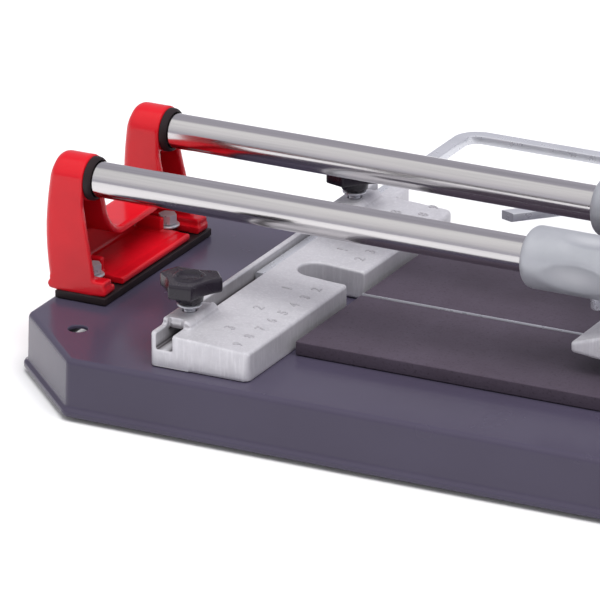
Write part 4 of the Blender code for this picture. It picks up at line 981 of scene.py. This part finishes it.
def lever_field(x, y, z):
    """The lever from its pivot: a hub, a toe and a stem as belts round circles, a neck and a round
    socket for the handle, less the bores."""
    w = np.abs(y)
    along = x * ALONG[0] + z * ALONG[1]
    across = np.hypot(-x * ALONG[1] + z * ALONG[0], y)
    toe = both(belt(x, z, (0, 0, 11.0), (20.0, -36.0, 7.0)), w - 7.0, 1.6)
    stem = both(belt(x, z, (0, 0, 11.0), (-8.0, -18.0, 8.0)), w - 6.85, 1.6)
    neck = both(belt(x, z, (0, 0, 11.0), (20.5 * ALONG[0], 20.5 * ALONG[1], 7.6)), w - 6.7, 1.6)
    socket = both(across - 9.5, np.maximum(16.5 - along, along - 44.0), 1.8)
    solid = either(either(either(toe, stem, 2.5), neck, 2.0), socket, 2.0)
    solid = less(solid, np.hypot(x, z) - 4.3, 0.4)
    solid = less(solid, np.hypot(x - 20, z + 36) - 2.8, 0.4)
    solid = less(solid, np.maximum(across - 6.3, 19.7 - along), 0.4)
    holder = np.maximum(np.maximum(np.abs(x + 8) - 5.8, w - 4.9), z + 7.9)
    solid = less(solid, holder, 0.3)
    return less(solid, np.maximum(np.hypot(x + 8, z + 19) - 2.3, y), 0.2)


def turn_along():
    """Rotation whose z axis points up the handle."""
    a = HANDLE_ANGLE
    return np.array([[math.sin(a), 0, math.cos(a)], [0, 1, 0], [-math.cos(a), 0, math.sin(a)]])


def lever():
    centre = (PIVOT[0], 0, PIVOT[1])
    points, quads, marks = nets(lever_field, (-18, -10, -44), (40, 10, 40), 0.7)
    put("lever_arm_skin", points + centre, quads, "lever", "cast_aluminium", SKIN["blasted"],
        ["lever_arm"], 60,
        marks=marks)
    turn = turn_along()
    tube = [(0.01, 20.2), (5.4, 20.2), (6.0, 20.8), (6.0, 120), (6.0, 223.4), (5.4, 224), (0.01, 224)]
    put("handle_tube_skin", *lathe(tube, centre, count=64, turn=turn), "lever", "chrome", SKIN["chrome"],
        ["handle_tube"])
    t = np.linspace(0, 1, 120)
    swell = 12.6 + 2.4 * np.sin(np.pi * np.clip(0.1 + 0.9 * t, 0, 1))
    flute = 0.55 * np.maximum(np.cos(2 * np.pi * 10 * t), 0.1) ** 3 * (t > 0.08) * (t < 0.92)
    grip = [(6.3, 115.0), (11.2, 115.0), (12.4, 115.8)]
    grip += [(r, 116.5 + 106 * s) for r, s in zip(swell - flute, t)]
    cap = np.linspace(0, np.pi / 2, 9)[1:]
    grip += [(6 + 6.9 * math.cos(a), 222.5 + 7.3 * math.sin(a)) for a in cap]
    grip += [(0.05, 229.9), (0.05, 224.6), (6.3, 224.6)]
    put("handle_grip_skin", *lathe(grip, centre, count=72, closed=True, turn=turn), "lever", "black_plastic",
        SKIN["plastic"], ["handle_grip"])


def pins():
    """The pivot pin, the wheel's axle and the scoring wheel."""
    e = (PIN[1][1] - PIN[0][1]) / 2
    profile = [(0.01, e), (5.6, e), (6.5, e - 0.9), (6.5, e - 4.0), (4.0, e - 4.0), (4.0, 1.2 - e),
               (3.2, 0.2 - e),
               (0.01, 0.2 - e)]
    profile = [(r, -h) for r, h in profile]
    put("pivot_pin_skin", *lathe(profile, (PIVOT[0], 0, PIVOT[1]), "y", 56), "carriage", "zinc",
        SKIN["zinc"],
        ["pivot_pin"])
    profile = [(0.01, -5.8), (1.6, -5.8), (2.0, -5.4), (2.0, 5.4), (1.6, 5.8), (0.01, 5.8)]
    put("wheel_axle_skin", *lathe(profile, (WHEEL[0], 0, WHEEL[1]), "y", 40), "lever", "zinc", SKIN["zinc"],
        ["wheel_axle"])
    rim = [(2.3, -1.5), (7.2, -1.5), (7.5, -1.35), (10.9, -0.12), (11.0, 0), (10.9, 0.12), (7.5, 1.35),
           (7.2, 1.5),
           (2.3, 1.5)]
    put("scoring_wheel_skin", *lathe(rim, (WHEEL[0], 0, WHEEL[1]), "y", 128, closed=True), "wheel",
        "carbide",
        SKIN["carbide"], ["scoring_wheel"], 20)


def holder_field(x, y, z):
    """The wheel's forked holder, from the wheel's centre."""
    solid = block(x, y, z, (-5.5, -4.6, -5.2), (5.5, 4.6, PIVOT[1] - 8.2 - WHEEL[1]), 1.1)
    solid = less(solid, np.maximum(np.abs(y) - 1.8, z - 12.0), 0.4)
    return less(solid, np.hypot(x, z) - 2.3, 0.2)


def breaker_field(x, y, z):
    """The forked foot, from its pin: a wedge under a sloping nose, two arms, a slot for the wheel and
    room for the lever's toe."""
    w = np.abs(y)
    under = -18.2 + 1.3 * np.clip((-37.0 - x) / 12.0, 0, 1)
    crown = -12.7 + 6.5 * np.clip((x + 49.0) / 19.0, 0, 1)
    profile = both(both(-49.0 - x, under - z, 1.3), both(x - 11.0, (z - crown) * 0.96, 2.2), 0.7)
    solid = both(profile, w - 42.0, 0.9)
    arm = both(belt(x, z, (0, 0, 6.2), (0, -12.0, 7.5)), np.abs(w - 10.45) - 2.25, 0.8)
    solid = either(solid, arm, 2.0)
    solid = less(solid, np.maximum(w - 8.2, x + 13.0), 0.8)
    solid = less(solid, np.maximum(w - 8.2, -8.2 - z), 0.6)
    solid = less(solid, np.maximum(w - 8.2, z + 14.2), 0.6)
    return less(solid, np.hypot(x, z) - 2.8, 0.3)


def breaker():
    points, quads, marks = nets(holder_field, (-5.5, -4.6, -5.2), (5.5, 4.6, 34), 0.5)
    put("wheel_holder_skin", points + (WHEEL[0], 0, WHEEL[1]), quads, "lever", "zinc", SKIN["zinc"],
        ["wheel_holder"], 60, marks=marks)
    points, quads, marks = nets(breaker_field, (-49, -42, -18.2), (11, 42, 6.5), 0.7)
    put("breaker_foot_skin", points + (TOE[0], 0, TOE[1]), quads, "breaker", "cast_aluminium", SKIN["cast"],
        ["breaker_foot"], 60, marks=marks)


def hardware():
    """Bolts, washers, nuts and screws: the CAD shapes with softened edges."""
    tags = [f"{side}_{row}" for side in SIDES for row in ROWS]
    refined([f"bolt_{t}" for t in tags] + [f"nut_{t}" for t in tags], "base", SKIN["zinc"], 0.4)
    for t in tags:
        low, high = span(f"washer_{t}")
        washer(f"washer_{t}", ((low[0] + high[0]) / 2, (low[1] + high[1]) / 2 - LINE), "base", 2.8)
    refined([f"rail_screw_{t}" for t in tags], "base", SKIN["zinc"], 0.3)
    refined([f"fence_screw_{row}" for row in ROWS], "base", SKIN["zinc"], 0.3)
    refined(["holder_screw"], "lever", SKIN["zinc"], 0.2)
    refined(["breaker_pin", "breaker_nut"], "breaker", SKIN["zinc"], 0.3)


# ------------------------------------------------------------------------------------- stage


def stage():
    """Pale floor, soft light from all round with one broad soft light from above, and the camera."""
    scene = bpy.context.scene
    scene.view_settings.view_transform = "Standard"
    pale = Finish("pale_floor", (0.86, 0.86, 0.86), 0.9, emission_strength=0.03)
    pale.shader.inputs["Emission Color"].default_value = (1, 1, 1, 1)
    mesh = bpy.data.meshes.new("floor")
    mesh.from_pydata([(-20, -20, 0), (20, -20, 0), (20, 20, 0), (-20, 20, 0)], [], [(0, 1, 2, 3)])
    mesh.materials.append(pale.material)
    floor = bpy.data.objects.new("floor", mesh)
    scene.collection.objects.link(floor)

    world = bpy.data.worlds.new("studio")
    scene.world = world
    world.use_nodes = True
    nodes, links = world.node_tree.nodes, world.node_tree.links
    sky = nodes["Background"]
    sky.inputs["Strength"].default_value = 1.0
    where = nodes.new("ShaderNodeTexCoord")
    split = nodes.new("ShaderNodeSeparateXYZ")
    ramp = nodes.new("ShaderNodeValToRGB")
    links.new(where.outputs["Generated"], split.inputs[0])
    links.new(split.outputs["Z"], ramp.inputs["Fac"])
    stops = [(0.0, (0.60, 0.58, 0.66)), (0.12, (0.56, 0.55, 0.62)), (0.45, (0.80, 0.79, 0.82)),
             (1.0, (1, 1, 1))]
    ramp.color_ramp.elements[0].position = stops[0][0]
    ramp.color_ramp.elements[1].position = stops[-1][0]
    for element, value in zip(ramp.color_ramp.elements, (stops[0][1], stops[-1][1])):
        element.color = (*value, 1)
    for position, value in stops[1:-1]:
        ramp.color_ramp.elements.new(position).color = (*value, 1)
    behind = nodes.new("ShaderNodeMapRange")
    behind.inputs["From Min"].default_value = 0.0
    behind.inputs["From Max"].default_value = 0.14
    links.new(split.outputs["Y"], behind.inputs["Value"])
    mix = nodes.new("ShaderNodeMix")
    mix.data_type = "RGBA"
    mix.inputs[7].default_value = (0.48, 0.47, 0.53, 1)
    links.new(behind.outputs["Result"], mix.inputs["Factor"])
    links.new(ramp.outputs["Color"], mix.inputs[6])
    links.new(mix.outputs[2], sky.inputs["Color"])

    light = bpy.data.lights.new("softbox", "SUN")
    light.energy = 2.6
    light.angle = math.radians(50)
    toward_light = Vector((0.25, -0.12, 0.93))
    holder = bpy.data.objects.new("softbox", light)
    holder.rotation_euler = toward_light.to_track_quat("Z", "Y").to_euler()
    holder.visible_glossy = False
    scene.collection.objects.link(holder)

    azimuth, elevation, distance = math.radians(27.056), math.radians(20.949), 3.3597
    # the aim, from the tray's left end, the scoring line and the bench
    aim_along, aim_across, aim_up = 67.68, 53.64, 2.0
    back = Vector((math.sin(azimuth) * math.cos(elevation), -math.cos(azimuth) * math.cos(elevation),
                   math.sin(elevation)))
    target = Vector((aim_along - END, aim_across + LINE, aim_up)) / MM
    lens = bpy.data.cameras.new("camera")
    lens.sensor_width = 36
    lens.lens = 475.13
    lens.clip_end = 100
    camera = bpy.data.objects.new("camera", lens)
    camera.location = target + back * distance
    camera.rotation_euler = back.to_track_quat("Z", "Y").to_euler()
    scene.collection.objects.link(camera)
    scene.camera = camera


base_tray()
bed()
feet()
brackets()
gaskets()
rails()
collars()
scale_fence()
clamps()
stop_bar()
carriage()
lever()
pins()
breaker()
hardware()
stage()
